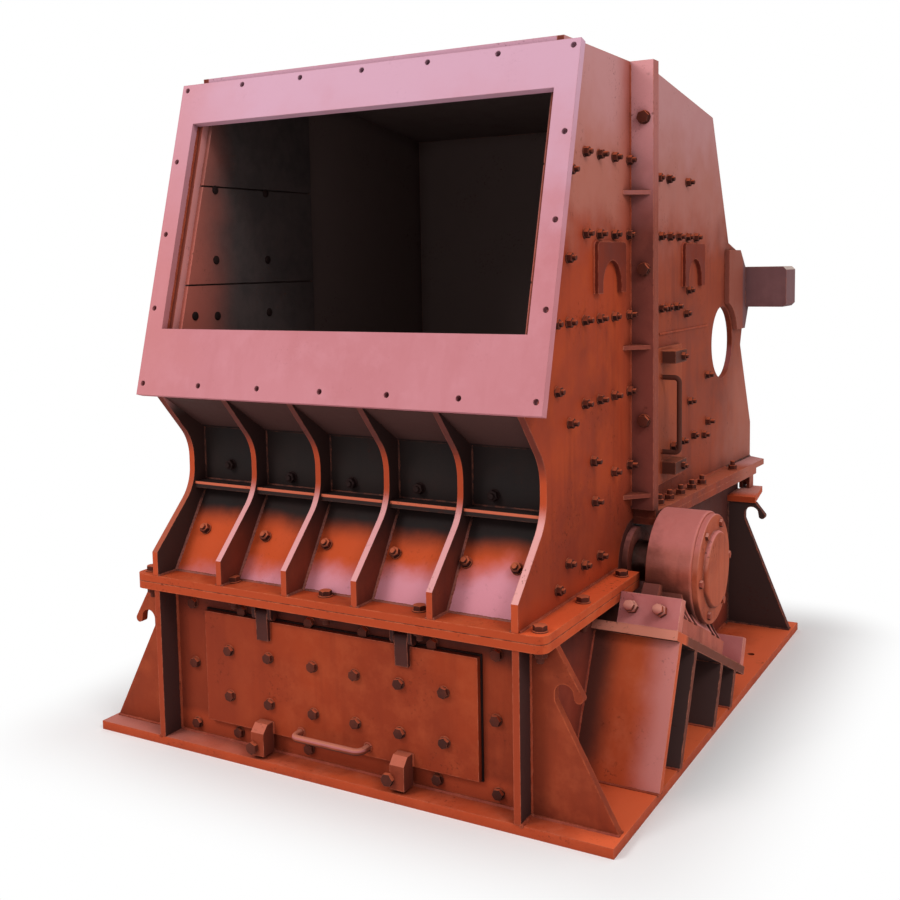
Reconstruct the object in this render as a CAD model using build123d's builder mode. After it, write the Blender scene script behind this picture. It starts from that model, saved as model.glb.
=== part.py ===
from build123d import *

import os
from math import cos, radians, sin, sqrt

# Hammer crusher with a split welded housing on a bolted-down base.
# Millimetres. X runs along the rotor, +Y is the rear, +Z is up.
# The origin is the centre of the base plate's underside.

# Base
base_side_reach = 275.0
base_length = 2180.0
base_plate_thk = 30.0
discharge_side_gap = 55.0
discharge_length = 1500.0
discharge_y = -140.0
anchor_edge = 75.0
anchor_spacing_y = 1206.0
anchor_hole_r = 14.0

# Housing shared by the base and both upper halves
housing_half = 675.0
side_thk = 22.0
wall_thk = 20.0
joint_gap = 0.3

# Rotor and its line
axis_y = -190.0
axis_z = 580.0
shaft_r = 70.0
shaft_core_r = 95.0
core_side_gap = 43.0
shaft_end_gap = 6.0
drive_end_r = 65.0
drive_end_length = 208.0
drive_shoulder = 4.0
key_width = 32.0
key_depth = 11.0
key_length = 150.0
running_gap = 0.05
fit_gap = 0.3
disc_count = 6
disc_r = 335.0
disc_thk = 34.0
disc_end_inset = 40.0
pin_count = 4
pin_r = 27.0
pin_orbit_r = 262.0
hammer_tip_r = 470.0
hammer_width = 150.0
hammer_thk = 120.0
hammer_eye_r = 66.0

# Lower joint between base and housing
joint_z = 560.0
flange_thk = 25.0
flange_reach = 80.0
flange_front_y = -1097.0
flange_lip = 13.0
flange_corner_r = 32.0
wing_front_y = -1092.0
front_wall_y = -1010.0
rear_wall_y = 1040.0
arch_r = 145.0
shaft_hole_gap = 24.0

# Sloping joint under the rear housing
rise_front_z = 730.0
rise_drop = 42.0
rise_run = 1290.0
rear_flange_thk = 24.0
flange_break_gap = 16.0
rear_deck_thk = 20.0
riser_tail = 73.0
flare_low_z = 440.0
flare_high_z = 520.0

# Plates that cap the rear hooks and carry the hinge
cap_low_z = 565.0
cap_front_y = 965.0
cap_rear_y = 1223.0
cap_reach = 120.0
cap_rear_reach = 85.0
cap_inner_gap = 7.0

# Front door in the base
door_side_gap = 141.0
door_bottom = 98.0
door_top = 470.0
door_thk = 22.0
door_lap = 72.0
door_opening_low_z = 150.0
door_opening_high_z = 430.0
door_pivot_z = 492.0
door_pivot_y = -1030.0
door_pin_r = 9.0
strap_x = 262.0
strap_width = 46.0
strap_drop = 62.0
strap_thk = 12.0
ear_thk_door = 14.0
ear_gap_door = 1.0
door_knuckle_wall = 9.0
clamp_x = 263.0
clamp_width = 50.0
clamp_depth = 54.0
clamp_top_depth = 32.0
clamp_bevel = 24.0
clamp_low_z = 40.0
clamp_high_z = 140.0
handle_half = 127.0
handle_r = 11.0
handle_reach = 48.0
handle_z = 126.0
handle_bend_r = 24.0

# Hook plates at the four corners
hook_thk = 25.0
hook_front_y = -1008.0
hook_rear_y = 985.0
hook_foot_reach = 265.0
hook_throat_r = 29.0
hook_throat_reach = 103.0
hook_throat_z = 404.0
hook_rear_lift = 113.0
hook_finger_reach = 146.0
hook_finger_drop = 6.0
hook_finger_r = 14.0
hook_edge_drop = 22.0

# Inclined bearing pedestals
seat_angle = 25.0
seat_height = 250.0
seat_upper = 292.0
seat_lower = 552.0
seat_thk = 30.0
seat_reach = 280.0
pedestal_rib_thk = 24.0
pedestal_ribs = (-250.0, -78.0, 248.0, 429.0)
stop_thk = 40.0
stop_height = 98.0
stop_inset = 14.0
stop_side_gap = 1.0
stop_outer_inset = 2.0

# Bearings
bearing_side_gap = 110.0
bearing_width = 151.0
bearing_edge_r = 8.0
bearing_r = 190.0
bearing_foot_half = 250.0
bearing_foot_thk = 46.0
bearing_web_half = 204.0
bearing_waist_half = 178.0
bearing_waist_z = 150.0
bearing_foot_reach = 275.0
bearing_flare_r = 150.0
bearing_flare_z = 160.0
bearing_neck_reach = 228.0
bearing_pocket_reach = 165.0
bearing_pocket_width = 42.0
bearing_pockets = (108.0, 170.0)
cover_r = 182.0
cover_thk = 20.0
cover_boss_r = 128.0
cover_boss_thk = 16.0
cover_rim_round = 4.0
cover_boss_round = 11.0
seal_r = 116.0
seal_thk = 20.0
seal_gap = 2.0

# Grate under the rotor
grate_r = 488.0
grate_depth = 54.0
grate_side_thk = 26.0
grate_side_gap = 13.0
grate_rim_height = 40.0
grate_bar_inset = 2.0
grate_bar_count = 15
grate_bar_thk = 30.0
grate_arc = 164.0

# Feed mouth
mouth_reach = 66.0
mouth_foot_y = -1070.0
mouth_foot_z = 1187.0
mouth_head_y = -780.0
mouth_head_drop = 19.0
mouth_thk = 30.0
hood_lap = 14.0
mouth_side = 69.0
mouth_sill = 225.0
mouth_lintel = 143.0
mouth_hole_r = 9.0
mouth_hole_inset = 22.0
mouth_holes_across = 7
mouth_holes_up = 5
mouth_hole_low = 39.0
mouth_hole_high = 20.0

# Ribbed recess under the mouth
rib_nose_y = -1095.0
rib_nose_z = 665.0
rib_back_y = -898.0
rib_low_bend_z = 862.0
rib_high_bend_z = 1014.0
rib_bend_r = 150.0
rib_thk = 20.0
rib_count = 4
recess_wall_y = -840.0
recess_wall_high_z = 1055.0
ledge_z = 872.0
ledge_thk = 22.0

# Upper housing
housing_top_z = 2250.0
top_plate_thk = 20.0
rear_top_y = 46.0
rear_shoulder_y = 721.0
rear_shoulder_drop = 88.0
rear_waist_y = 957.0
rear_waist_z = 1668.0
beam_front_y = 1155.0
beam_depth = 165.0
beam_low_z = 1392.0
beam_high_z = 1565.0
beam_reach = 195.0
beam_chamfer = 14.0
ear_front_y = 905.0
ear_low_z = 1300.0
ear_tip_y = 1077.0
ear_tip_z = 1638.0
ear_thk = 20.0
ear_port_gap = 14.0
tail_kink_y = 1151.0
tail_kink_z = 1226.0
tail_shelf_y = 1207.0
tail_shelf_z = 1380.0
tail_low_y = 1330.0
tail_low_z = 860.0
tail_corner_y = 1263.0
rear_bulkhead_y = 660.0
port_y = 870.0
port_z = 1256.0
port_r = 150.0
split_thk = 25.0
split_low_z = 762.0
tab_heights = (1816.0, 1307.0, 806.0)
tab_thk = 14.0
tab_length = 72.0
tab_inset = 10.0
liner_thk = 16.0
liner_low_z = 1205.0
liner_top_gap = 35.0
liner_count = 3
liner_joint = 6.0
liner_front_gap = 60.0
liner_back_gap = 8.0
chute_low_y = -690.0
chute_low_z = 1120.0
feed_thk = 30.0
breaker_thk = 45.0
breaker_low_z = 640.0

# Welded arches and side hatches
arch_pad_half = 122.0
arch_pad_top_z = 1662.0
arch_pad_corner_r = 18.0
arch_pad_thk = 16.0
arch_hole_r = 80.0
arch_spring_z = 1523.0
arch_foot_z = 1500.0
front_arch_y = -416.0
rear_arch_y = 452.0
hatch_y = 156.0
hatch_half = 134.0
hatch_low_z = 800.0
hatch_high_z = 1290.0
hatch_thk = 14.0
hatch_block_y = 113.0
hatch_block_length = 126.0
hatch_block_height = 44.0
hatch_block_reach = 56.0
hatch_block_levels = (1258.0, 861.0)
hatch_rod_r = 9.0
hatch_rod_y = 60.0
hatch_rod_low_z = 918.0
hatch_rod_high_z = 1186.0
hatch_rod_reach = 66.0

# Rear hinge
pivot_y = 1180.0
pivot_z = 632.0
pivot_pin_r = 20.0
lug_r = 32.0
lug_thk = 14.0
lug_gap = 2.0
lug_reach = 47.0

os.makedirs("parts", exist_ok=True)

inner_half = housing_half - side_thk
flange_half = housing_half + flange_reach
flange_inner_half = inner_half - flange_lip
base_width = 2 * (housing_half + base_side_reach)
discharge_width = 2 * (housing_half - discharge_side_gap)
anchor_spacing_x = base_width - 2 * anchor_edge
door_half = inner_half - door_side_gap
door_opening_half = door_half - door_lap
mouth_half = housing_half + mouth_reach
mouth_head_z = housing_top_z - mouth_head_drop
rear_shoulder_z = housing_top_z - rear_shoulder_drop
seat_outer_x = housing_half + seat_reach
stop_inner_x = flange_half + stop_side_gap
stop_outer_x = seat_outer_x - stop_outer_inset
bearing_inner_x = housing_half + bearing_side_gap
bearing_outer_x = bearing_inner_x + bearing_width
shaft_core_half = inner_half - core_side_gap
shaft_end_x = bearing_outer_x - shaft_end_gap
drive_step_x = -(bearing_outer_x + cover_thk + cover_boss_thk + drive_shoulder)
drive_end_x = drive_step_x - drive_end_length
disc_pitch = 2 * (shaft_core_half - disc_end_inset) / (disc_count - 1)
grate_half = inner_half - grate_side_gap
rib_pitch = 2 * inner_half / (rib_count + 1)
beam_half = housing_half + beam_reach
lug_outer_x = housing_half + lug_reach
rear_gap_y = axis_y + joint_gap
base_flange_z = joint_z - flange_thk
housing_flange_z = joint_z + flange_thk
cap_top_z = cap_low_z + flange_thk
riser_rear_y = rear_wall_y + wall_thk + riser_tail
wall_foot_y = base_length / 2


def save(piece, label):
    """Names a finished piece and writes it."""
    piece.part.label = label
    export_step(piece.part, f"parts/{label}.step")


def side_view(x):
    """Sketch plane across the rotor at x; its axes are Y and Z."""
    return Plane.YZ.offset(x)


def front_view(y):
    """Sketch plane along the rotor at y; its axes are X and Z, and it extrudes forward."""
    return Plane.XZ.offset(-y)


def rise(y):
    """Height of the sloping joint at depth y."""
    return rise_front_z - rise_drop / rise_run * (y - axis_y)


def mouth_point(up, out=0.0):
    """Depth and height of a point up the mouth's face and out from it."""
    run, climb = mouth_head_y - mouth_foot_y, mouth_head_z - mouth_foot_z
    length = sqrt(run**2 + climb**2)
    y = mouth_foot_y + (run * up - climb * out) / length
    return (y, mouth_foot_z + (climb * up + run * out) / length)


def mouth_depth(z):
    """Depth of the mouth's face at height z."""
    slope = (mouth_head_y - mouth_foot_y) / (mouth_head_z - mouth_foot_z)
    return mouth_foot_y + slope * (z - mouth_foot_z)


def seat_point(along, above):
    """Depth and height of a point on a pedestal, along and above its seat."""
    tilt = radians(seat_angle)
    y = axis_y - seat_height * sin(tilt) + along * cos(tilt) + above * sin(tilt)
    z = axis_z - seat_height * cos(tilt) - along * sin(tilt) + above * cos(tilt)
    return (y, z)


def foot_point(along, level):
    """Point straight under the seat, square to it, where it meets a level."""
    tilt = radians(seat_angle)
    seat_z = seat_point(along, 0.0)[1]
    return seat_point(along, (level - seat_z) / cos(tilt))


mouth_length = sqrt((mouth_head_y - mouth_foot_y) ** 2 + (mouth_head_z - mouth_foot_z) ** 2)

# Base plate with its discharge opening and anchor holes
with BuildPart() as base_plate:
    with BuildSketch():
        Rectangle(base_width, base_length)
        with Locations((0, discharge_y)):
            Rectangle(discharge_width, discharge_length, mode=Mode.SUBTRACT)
        with GridLocations(anchor_spacing_x, anchor_spacing_y, 2, 2):
            Circle(anchor_hole_r, mode=Mode.SUBTRACT)
    extrude(amount=base_plate_thk)
save(base_plate, "base_plate")


def base_side(x):
    """Side wall of the base, with the round shoulder that carries the shaft seal."""
    with BuildPart() as wall:
        with BuildSketch(side_view(x)):
            Polygon(
                (wing_front_y, base_plate_thk),
                (wall_foot_y, base_plate_thk),
                (wall_foot_y, flare_low_z),
                (riser_rear_y, flare_high_z),
                (riser_rear_y, rise(riser_rear_y)),
                (axis_y, rise(axis_y)),
                (axis_y, base_flange_z),
                (wing_front_y, base_flange_z),
            )
            with Locations((axis_y, axis_z)):
                Circle(arch_r)
                Circle(shaft_r + shaft_hole_gap, mode=Mode.SUBTRACT)
        extrude(amount=side_thk)
    return wall


save(base_side(inner_half), "base_side_wall_right")
save(base_side(-housing_half), "base_side_wall_left")

with BuildPart() as base_front_wall:
    with BuildSketch(front_view(front_wall_y + wall_thk)):
        Polygon(
            (-inner_half, base_plate_thk),
            (inner_half, base_plate_thk),
            (inner_half, base_flange_z),
            (-inner_half, base_flange_z),
        )
        with Locations((0, (door_opening_low_z + door_opening_high_z) / 2)):
            Rectangle(
                2 * door_opening_half,
                door_opening_high_z - door_opening_low_z,
                mode=Mode.SUBTRACT,
            )
    extrude(amount=wall_thk)
save(base_front_wall, "base_front_wall")

# Rear end wall of the base and the deck that closes its top
deck_front_y = rear_bulkhead_y - wall_thk
with BuildPart() as base_rear_wall:
    with BuildSketch(side_view(-inner_half)):
        Polygon(
            (rear_wall_y, base_plate_thk),
            (rear_wall_y + wall_thk, base_plate_thk),
            (rear_wall_y + wall_thk, rise(rear_wall_y + wall_thk)),
            (deck_front_y, rise(deck_front_y)),
            (deck_front_y, rise(deck_front_y) - rear_deck_thk),
            (rear_wall_y, rise(rear_wall_y) - rear_deck_thk),
        )
    extrude(amount=2 * inner_half)
save(base_rear_wall, "base_rear_wall")

# Flange round the front of the base, and the plates that cap its rear corners
arch_foot_y = axis_y - sqrt(arch_r**2 - (axis_z - joint_z) ** 2)
flange_break_y = arch_foot_y - flange_break_gap


def flange_front(inner_y):
    """Three-sided flange in front of the shaft, as a filled sketch at any level."""
    with BuildSketch() as shape:
        with Locations((0, (flange_front_y + flange_break_y) / 2)):
            Rectangle(2 * flange_half, flange_break_y - flange_front_y)
        fillet(shape.vertices().group_by(Axis.Y)[0], flange_corner_r)
        with Locations((0, (inner_y + flange_break_y) / 2)):
            Rectangle(2 * flange_inner_half, flange_break_y - inner_y, mode=Mode.SUBTRACT)
    return shape.sketch


with BuildPart() as base_flange:
    with BuildSketch(Plane.XY.offset(base_flange_z)):
        add(flange_front(front_wall_y + wall_thk))
        with Locations((0, (rear_wall_y + wall_thk + riser_rear_y) / 2)):
            Rectangle(2 * inner_half, riser_rear_y - rear_wall_y - wall_thk)
    extrude(amount=flange_thk)
    with BuildSketch(Plane.XY.offset(cap_low_z)):
        Polygon(
            (housing_half, cap_front_y),
            (housing_half + cap_reach, cap_front_y),
            (housing_half + cap_rear_reach, cap_rear_y),
            (housing_half + cap_inner_gap, cap_rear_y),
            (housing_half + cap_inner_gap, riser_rear_y),
            (housing_half, riser_rear_y),
        )
        mirror(about=Plane.YZ)
    extrude(amount=flange_thk)
save(base_flange, "base_flange")


# Hook plates: a tapered gusset with an open throat under the flange or its cap
throat_x = housing_half + hook_throat_reach
finger_x = housing_half + hook_finger_reach
hook_places = (
    (hook_front_y, hook_throat_z, flange_half, base_flange_z),
    (hook_rear_y, hook_throat_z + hook_rear_lift, housing_half + cap_reach, cap_low_z),
)
with BuildPart() as lifting_hooks:
    for y, throat_z, top_x, top_z in hook_places:
        finger_z = throat_z - hook_finger_drop
        finger_run, finger_drop = finger_x - top_x, top_z - finger_z
        out_x = finger_drop / sqrt(finger_run**2 + finger_drop**2)
        out_z = finger_run / sqrt(finger_run**2 + finger_drop**2)
        throat_end = (throat_x + hook_throat_r * out_x, throat_z + hook_throat_r * out_z)
        finger_inner = (finger_x - hook_finger_r * out_x, finger_z - hook_finger_r * out_z)
        finger_outer = (finger_x + hook_finger_r * out_x, finger_z + hook_finger_r * out_z)
        with BuildSketch(front_view(y + hook_thk / 2)):
            with BuildLine():
                Polyline(
                    finger_outer,
                    (top_x, top_z),
                    (housing_half, top_z),
                    (housing_half, base_plate_thk),
                    (housing_half + hook_foot_reach, base_plate_thk),
                    (throat_x - hook_throat_r, throat_z - hook_edge_drop),
                    (throat_x - hook_throat_r, throat_z),
                )
                ThreePointArc(
                    (throat_x - hook_throat_r, throat_z),
                    (throat_x, throat_z + hook_throat_r),
                    throat_end,
                )
                Line(throat_end, finger_inner)
                ThreePointArc(
                    finger_inner,
                    (finger_x + hook_finger_r * out_z, finger_z - hook_finger_r * out_x),
                    finger_outer,
                )
            make_face()
        extrude(amount=hook_thk)
    mirror(about=Plane.YZ)
save(lifting_hooks, "lifting_hooks")


def pedestal():
    """Inclined seat on four ribs that stand square to it, for the right side."""
    half = pedestal_rib_thk / 2
    with BuildPart() as stand:
        with BuildSketch(side_view(housing_half)):
            Polygon(
                seat_point(-seat_upper, 0.0),
                seat_point(seat_lower, 0.0),
                seat_point(seat_lower, -seat_thk),
                seat_point(-seat_upper, -seat_thk),
            )
            for along in pedestal_ribs:
                Polygon(
                    seat_point(along - half, -seat_thk),
                    seat_point(along + half, -seat_thk),
                    foot_point(along + half, base_plate_thk),
                    foot_point(along - half, base_plate_thk),
                )
        extrude(amount=seat_outer_x - housing_half)
    return stand


with BuildPart() as pedestal_right:
    add(pedestal())
save(pedestal_right, "pedestal_right")

with BuildPart() as pedestal_left:
    add(pedestal())
    mirror(about=Plane.YZ, mode=Mode.REPLACE)
save(pedestal_left, "pedestal_left")

# Jacking stops at both ends of each seat
with BuildPart() as stop_blocks:
    upper, lower = -seat_upper, seat_lower - stop_inset
    with BuildSketch(side_view(stop_inner_x)):
        for low in (upper, lower - stop_thk):
            Polygon(
                seat_point(low, 0.0),
                seat_point(low + stop_thk, 0.0),
                seat_point(low + stop_thk, stop_height),
                seat_point(low, stop_height),
            )
    extrude(amount=stop_outer_x - stop_inner_x)
    mirror(about=Plane.YZ)
save(stop_blocks, "stop_blocks")


def bearing_housing():
    """Barrel on a flared foot with pockets between its gussets, for the right side."""
    tilt = radians(seat_angle)
    foot_end = Plane(
        origin=(housing_half, *seat_point(bearing_foot_half, 0.0)),
        x_dir=(1, 0, 0),
        z_dir=(0, -cos(tilt), sin(tilt)),
    )
    with BuildPart() as body:
        with BuildSketch(side_view(bearing_inner_x)):
            Polygon(
                seat_point(-bearing_foot_half, 0.0),
                seat_point(bearing_foot_half, 0.0),
                seat_point(bearing_foot_half, bearing_foot_thk),
                seat_point(bearing_web_half, bearing_foot_thk),
                seat_point(bearing_waist_half, bearing_waist_z),
                seat_point(-bearing_waist_half, bearing_waist_z),
                seat_point(-bearing_web_half, bearing_foot_thk),
                seat_point(-bearing_foot_half, bearing_foot_thk),
            )
        extrude(amount=bearing_foot_reach - bearing_side_gap)
        pocket_depth = bearing_foot_reach - bearing_pocket_reach
        with BuildSketch(foot_end):
            with Locations((bearing_neck_reach + bearing_flare_r, bearing_flare_z)):
                Circle(bearing_flare_r)
        extrude(amount=2 * bearing_foot_half, mode=Mode.SUBTRACT)
        with BuildSketch(side_view(housing_half + bearing_pocket_reach)):
            for along in bearing_pockets:
                for side in (-1, 1):
                    low = side * along - bearing_pocket_width / 2
                    Polygon(
                        seat_point(low, bearing_foot_thk),
                        seat_point(low + bearing_pocket_width, bearing_foot_thk),
                        seat_point(low + bearing_pocket_width, bearing_flare_z),
                        seat_point(low, bearing_flare_z),
                    )
        extrude(amount=pocket_depth, mode=Mode.SUBTRACT)
        with BuildSketch(side_view(bearing_inner_x)):
            with Locations((axis_y, axis_z)):
                Circle(bearing_r)
        extrude(amount=bearing_width)
        barrel_ends = body.edges().filter_by(GeomType.CIRCLE)
        barrel_ends = barrel_ends.filter_by(lambda e: abs(e.radius - bearing_r) < joint_gap)
        fillet(barrel_ends.sort_by(Axis.X)[-1], bearing_edge_r)
        with BuildSketch(side_view(bearing_inner_x)):
            with Locations((axis_y, axis_z)):
                Circle(shaft_r + running_gap)
        extrude(amount=bearing_width, mode=Mode.SUBTRACT)
        with BuildSketch(side_view(bearing_outer_x)):
            with Locations((axis_y, axis_z)):
                Circle(cover_r + joint_gap)
        extrude(amount=bearing_foot_reach, mode=Mode.SUBTRACT)
    return body


with BuildPart() as bearing_housing_right:
    add(bearing_housing())
save(bearing_housing_right, "bearing_housing_right")

with BuildPart() as bearing_housing_left:
    add(bearing_housing())
    mirror(about=Plane.YZ, mode=Mode.REPLACE)
save(bearing_housing_left, "bearing_housing_left")


def bearing_cover(x, grow, bore):
    """Stepped cover on a bearing; the drive side has a bore for the shaft."""
    with BuildPart() as cover:
        with BuildSketch(side_view(x)):
            with Locations((axis_y, axis_z)):
                Circle(cover_r)
        extrude(amount=grow * cover_thk)
        with BuildSketch(side_view(x + grow * cover_thk)):
            with Locations((axis_y, axis_z)):
                Circle(cover_boss_r)
        extrude(amount=grow * cover_boss_thk)
        outer = Axis.X if grow > 0 else Axis((0, 0, 0), (-1, 0, 0))
        rings = cover.edges().filter_by(GeomType.CIRCLE).group_by(outer)
        fillet(rings[-1], cover_boss_round)
        fillet(rings[1].filter_by(lambda e: e.radius > cover_boss_r + cover_rim_round), cover_rim_round)
        if bore:
            with BuildSketch(side_view(x)):
                with Locations((axis_y, axis_z)):
                    Circle(bore)
            extrude(amount=grow * (cover_thk + cover_boss_thk), mode=Mode.SUBTRACT)
    return cover


save(bearing_cover(bearing_outer_x, 1, 0.0), "bearing_cover_right")
save(bearing_cover(-bearing_outer_x, -1, shaft_r + seal_gap), "bearing_cover_left")

with BuildPart() as shaft_seals:
    with BuildSketch(side_view(housing_half)):
        with Locations((axis_y, axis_z)):
            Circle(seal_r)
            Circle(shaft_r + seal_gap, mode=Mode.SUBTRACT)
    extrude(amount=seal_thk)
    mirror(about=Plane.YZ)
save(shaft_seals, "shaft_seals")

# Grate basket: curved side bars joined by cross bars
with BuildPart() as grate:
    middle_r = grate_r + grate_depth / 2
    with BuildSketch(side_view(-grate_half)) as grate_side:
        with Locations((axis_y, axis_z)):
            Circle(grate_r + grate_depth)
            Circle(grate_r, mode=Mode.SUBTRACT)
        with Locations((axis_y, axis_z + grate_r)):
            Rectangle(4 * grate_r, 2 * (grate_r - grate_rim_height), mode=Mode.SUBTRACT)
    extrude(amount=grate_side_thk)
    mirror(about=Plane.YZ)
    with BuildSketch(side_view(-grate_half)):
        with Locations((axis_y, axis_z)):
            with PolarLocations(middle_r, grate_bar_count, -90.0 - grate_arc / 2, grate_arc):
                Rectangle(grate_depth - 2 * grate_bar_inset, grate_bar_thk)
    extrude(amount=2 * grate_half)
save(grate, "discharge_grate")

# Lower hinge lugs with their pins
lug_faces = (lug_outer_x - lug_thk, lug_outer_x - 3 * lug_thk - 2 * lug_gap)
with BuildPart() as hinge_brackets:
    for x in lug_faces:
        with BuildSketch(side_view(x)):
            with Locations((pivot_y, pivot_z)):
                Circle(lug_r)
            Polygon(
                (pivot_y - lug_r, pivot_z),
                (pivot_y - lug_r, cap_top_z),
                (pivot_y + lug_r, cap_top_z),
                (pivot_y + lug_r, pivot_z),
            )
        extrude(amount=lug_thk)
    with BuildSketch(side_view(lug_faces[1])):
        with Locations((pivot_y, pivot_z)):
            Circle(pivot_pin_r)
    extrude(amount=lug_outer_x - lug_faces[1])
    mirror(about=Plane.YZ)
save(hinge_brackets, "rear_hinge_brackets")

# Front door with hinge straps, clamps and handle
door_face_y = front_wall_y - joint_gap - door_thk
with BuildPart() as door_panel:
    with BuildSketch(front_view(front_wall_y - joint_gap)):
        with Locations((0, (door_bottom + door_top) / 2)):
            Rectangle(2 * door_half, door_top - door_bottom)
    extrude(amount=door_thk)
    for x in (-strap_x, strap_x):
        with BuildSketch(side_view(x - strap_width / 2)):
            with Locations((door_pivot_y, door_pivot_z)):
                Circle(door_pin_r + door_knuckle_wall)
            Polygon(
                (door_face_y, door_top - strap_drop),
                (door_face_y, door_pivot_z),
                (door_pivot_y - door_pin_r - door_knuckle_wall, door_pivot_z),
                (door_face_y - strap_thk, door_top - strap_drop),
            )
            with Locations((door_pivot_y, door_pivot_z)):
                Circle(door_pin_r + running_gap, mode=Mode.SUBTRACT)
        extrude(amount=strap_width)
save(door_panel, "access_door")

with BuildPart() as door_hinges:
    ear_low_x = strap_x - strap_width / 2 - ear_thk_door - ear_gap_door
    with BuildSketch(side_view(ear_low_x)):
        with Locations((door_pivot_y, door_pivot_z)):
            Circle(door_pin_r + door_knuckle_wall)
        Polygon(
            (door_pivot_y - door_pin_r - door_knuckle_wall, door_pivot_z),
            (door_pivot_y - door_pin_r - door_knuckle_wall, base_flange_z),
            (front_wall_y, base_flange_z),
            (front_wall_y, door_pivot_z),
        )
    extrude(amount=ear_thk_door)
    mirror(about=Plane.YZ.offset(strap_x))
    with BuildSketch(side_view(ear_low_x)):
        with Locations((door_pivot_y, door_pivot_z)):
            Circle(door_pin_r)
    extrude(amount=strap_width + 2 * (ear_thk_door + ear_gap_door))
    mirror(about=Plane.YZ)
save(door_hinges, "door_hinge_ears")

with BuildPart() as door_clamps:
    for x in (-clamp_x, clamp_x):
        with BuildSketch(side_view(x - clamp_width / 2)):
            Polygon(
                (door_face_y, clamp_low_z),
                (door_face_y, clamp_high_z),
                (door_face_y - clamp_top_depth, clamp_high_z),
                (door_face_y - clamp_depth, clamp_high_z - clamp_bevel),
                (door_face_y - clamp_depth, clamp_low_z),
            )
        extrude(amount=clamp_width)
save(door_clamps, "door_clamps")

with BuildPart() as door_handle:
    grip_y = door_face_y - handle_reach
    with BuildLine() as grip_line:
        FilletPolyline(
            (-handle_half, door_face_y, handle_z),
            (-handle_half, grip_y, handle_z),
            (handle_half, grip_y, handle_z),
            (handle_half, door_face_y, handle_z),
            radius=handle_bend_r,
        )
    with BuildSketch(front_view(door_face_y)):
        with Locations((-handle_half, handle_z)):
            Circle(handle_r)
    sweep(path=grip_line.line)
save(door_handle, "door_handle")

# Rotor
disc_places = [(i - (disc_count - 1) / 2) * disc_pitch for i in range(disc_count)]
with BuildPart() as rotor_shaft:
    with BuildSketch(side_view(drive_step_x)):
        with Locations((axis_y, axis_z)):
            Circle(shaft_r)
    extrude(amount=shaft_end_x - drive_step_x)
    with BuildSketch(side_view(drive_end_x)):
        with Locations((axis_y, axis_z)):
            Circle(drive_end_r)
    extrude(amount=drive_end_length)
    with BuildSketch(side_view(-shaft_core_half)):
        with Locations((axis_y, axis_z)):
            Circle(shaft_core_r)
    extrude(amount=2 * shaft_core_half)
    with BuildSketch(side_view(drive_end_x)):
        with Locations((axis_y, axis_z + drive_end_r)):
            Rectangle(key_width, 2 * key_depth)
    extrude(amount=key_length, mode=Mode.SUBTRACT)
save(rotor_shaft, "rotor_shaft")

with BuildPart() as rotor_discs:
    for x in disc_places:
        with BuildSketch(side_view(x - disc_thk / 2)):
            with Locations((axis_y, axis_z)):
                Circle(disc_r)
                Circle(shaft_core_r + fit_gap, mode=Mode.SUBTRACT)
                with PolarLocations(pin_orbit_r, pin_count):
                    Circle(pin_r + fit_gap, mode=Mode.SUBTRACT)
        extrude(amount=disc_thk)
save(rotor_discs, "rotor_discs")

with BuildPart() as hammer_pins:
    pin_half = disc_places[-1] + disc_thk
    with BuildSketch(side_view(-pin_half)):
        with Locations((axis_y, axis_z)):
            with PolarLocations(pin_orbit_r, pin_count):
                Circle(pin_r)
    extrude(amount=2 * pin_half)
save(hammer_pins, "hammer_pins")

with BuildPart() as hammers:
    for a, b in zip(disc_places, disc_places[1:]):
        with BuildSketch(side_view((a + b - hammer_thk) / 2)):
            with Locations((axis_y, axis_z)):
                with PolarLocations(pin_orbit_r, pin_count):
                    Circle(hammer_eye_r)
                head = hammer_tip_r - pin_orbit_r
                with PolarLocations(pin_orbit_r + head / 2, pin_count):
                    Rectangle(head, hammer_width)
                with PolarLocations(pin_orbit_r, pin_count):
                    Circle(pin_r + fit_gap, mode=Mode.SUBTRACT)
        extrude(amount=hammer_thk)
save(hammers, "hammers")


# Front housing
def rib_corners():
    """Corners of a rib's front edge, from its foot up to the mouth."""
    return (
        (rib_nose_y, rib_nose_z),
        (rib_back_y, rib_low_bend_z),
        (rib_back_y, rib_high_bend_z),
        mouth_point(0.0, -mouth_thk),
    )


def front_side(x):
    """Side plate of the front housing, cut round the shaft's shoulder."""
    with BuildPart() as plate:
        with BuildSketch(side_view(x)):
            with BuildLine():
                FilletPolyline(*rib_corners(), radius=rib_bend_r)
                Polyline(
                    mouth_point(0.0, -mouth_thk),
                    mouth_point(mouth_length, -mouth_thk),
                    (mouth_point(mouth_length, -mouth_thk)[0], housing_top_z),
                    (axis_y, housing_top_z),
                    (axis_y, housing_flange_z),
                    (rib_nose_y, housing_flange_z),
                    (rib_nose_y, rib_nose_z),
                )
            make_face()
            with Locations((axis_y, axis_z)):
                Circle(arch_r + joint_gap, mode=Mode.SUBTRACT)
        extrude(amount=side_thk)
    return plate


save(front_side(inner_half), "front_side_plate_right")
save(front_side(-housing_half), "front_side_plate_left")

with BuildPart() as front_flange:
    with BuildSketch(Plane.XY.offset(joint_z)):
        add(flange_front(front_wall_y + wall_thk))
    extrude(amount=flange_thk)
save(front_flange, "front_housing_flange")

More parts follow.
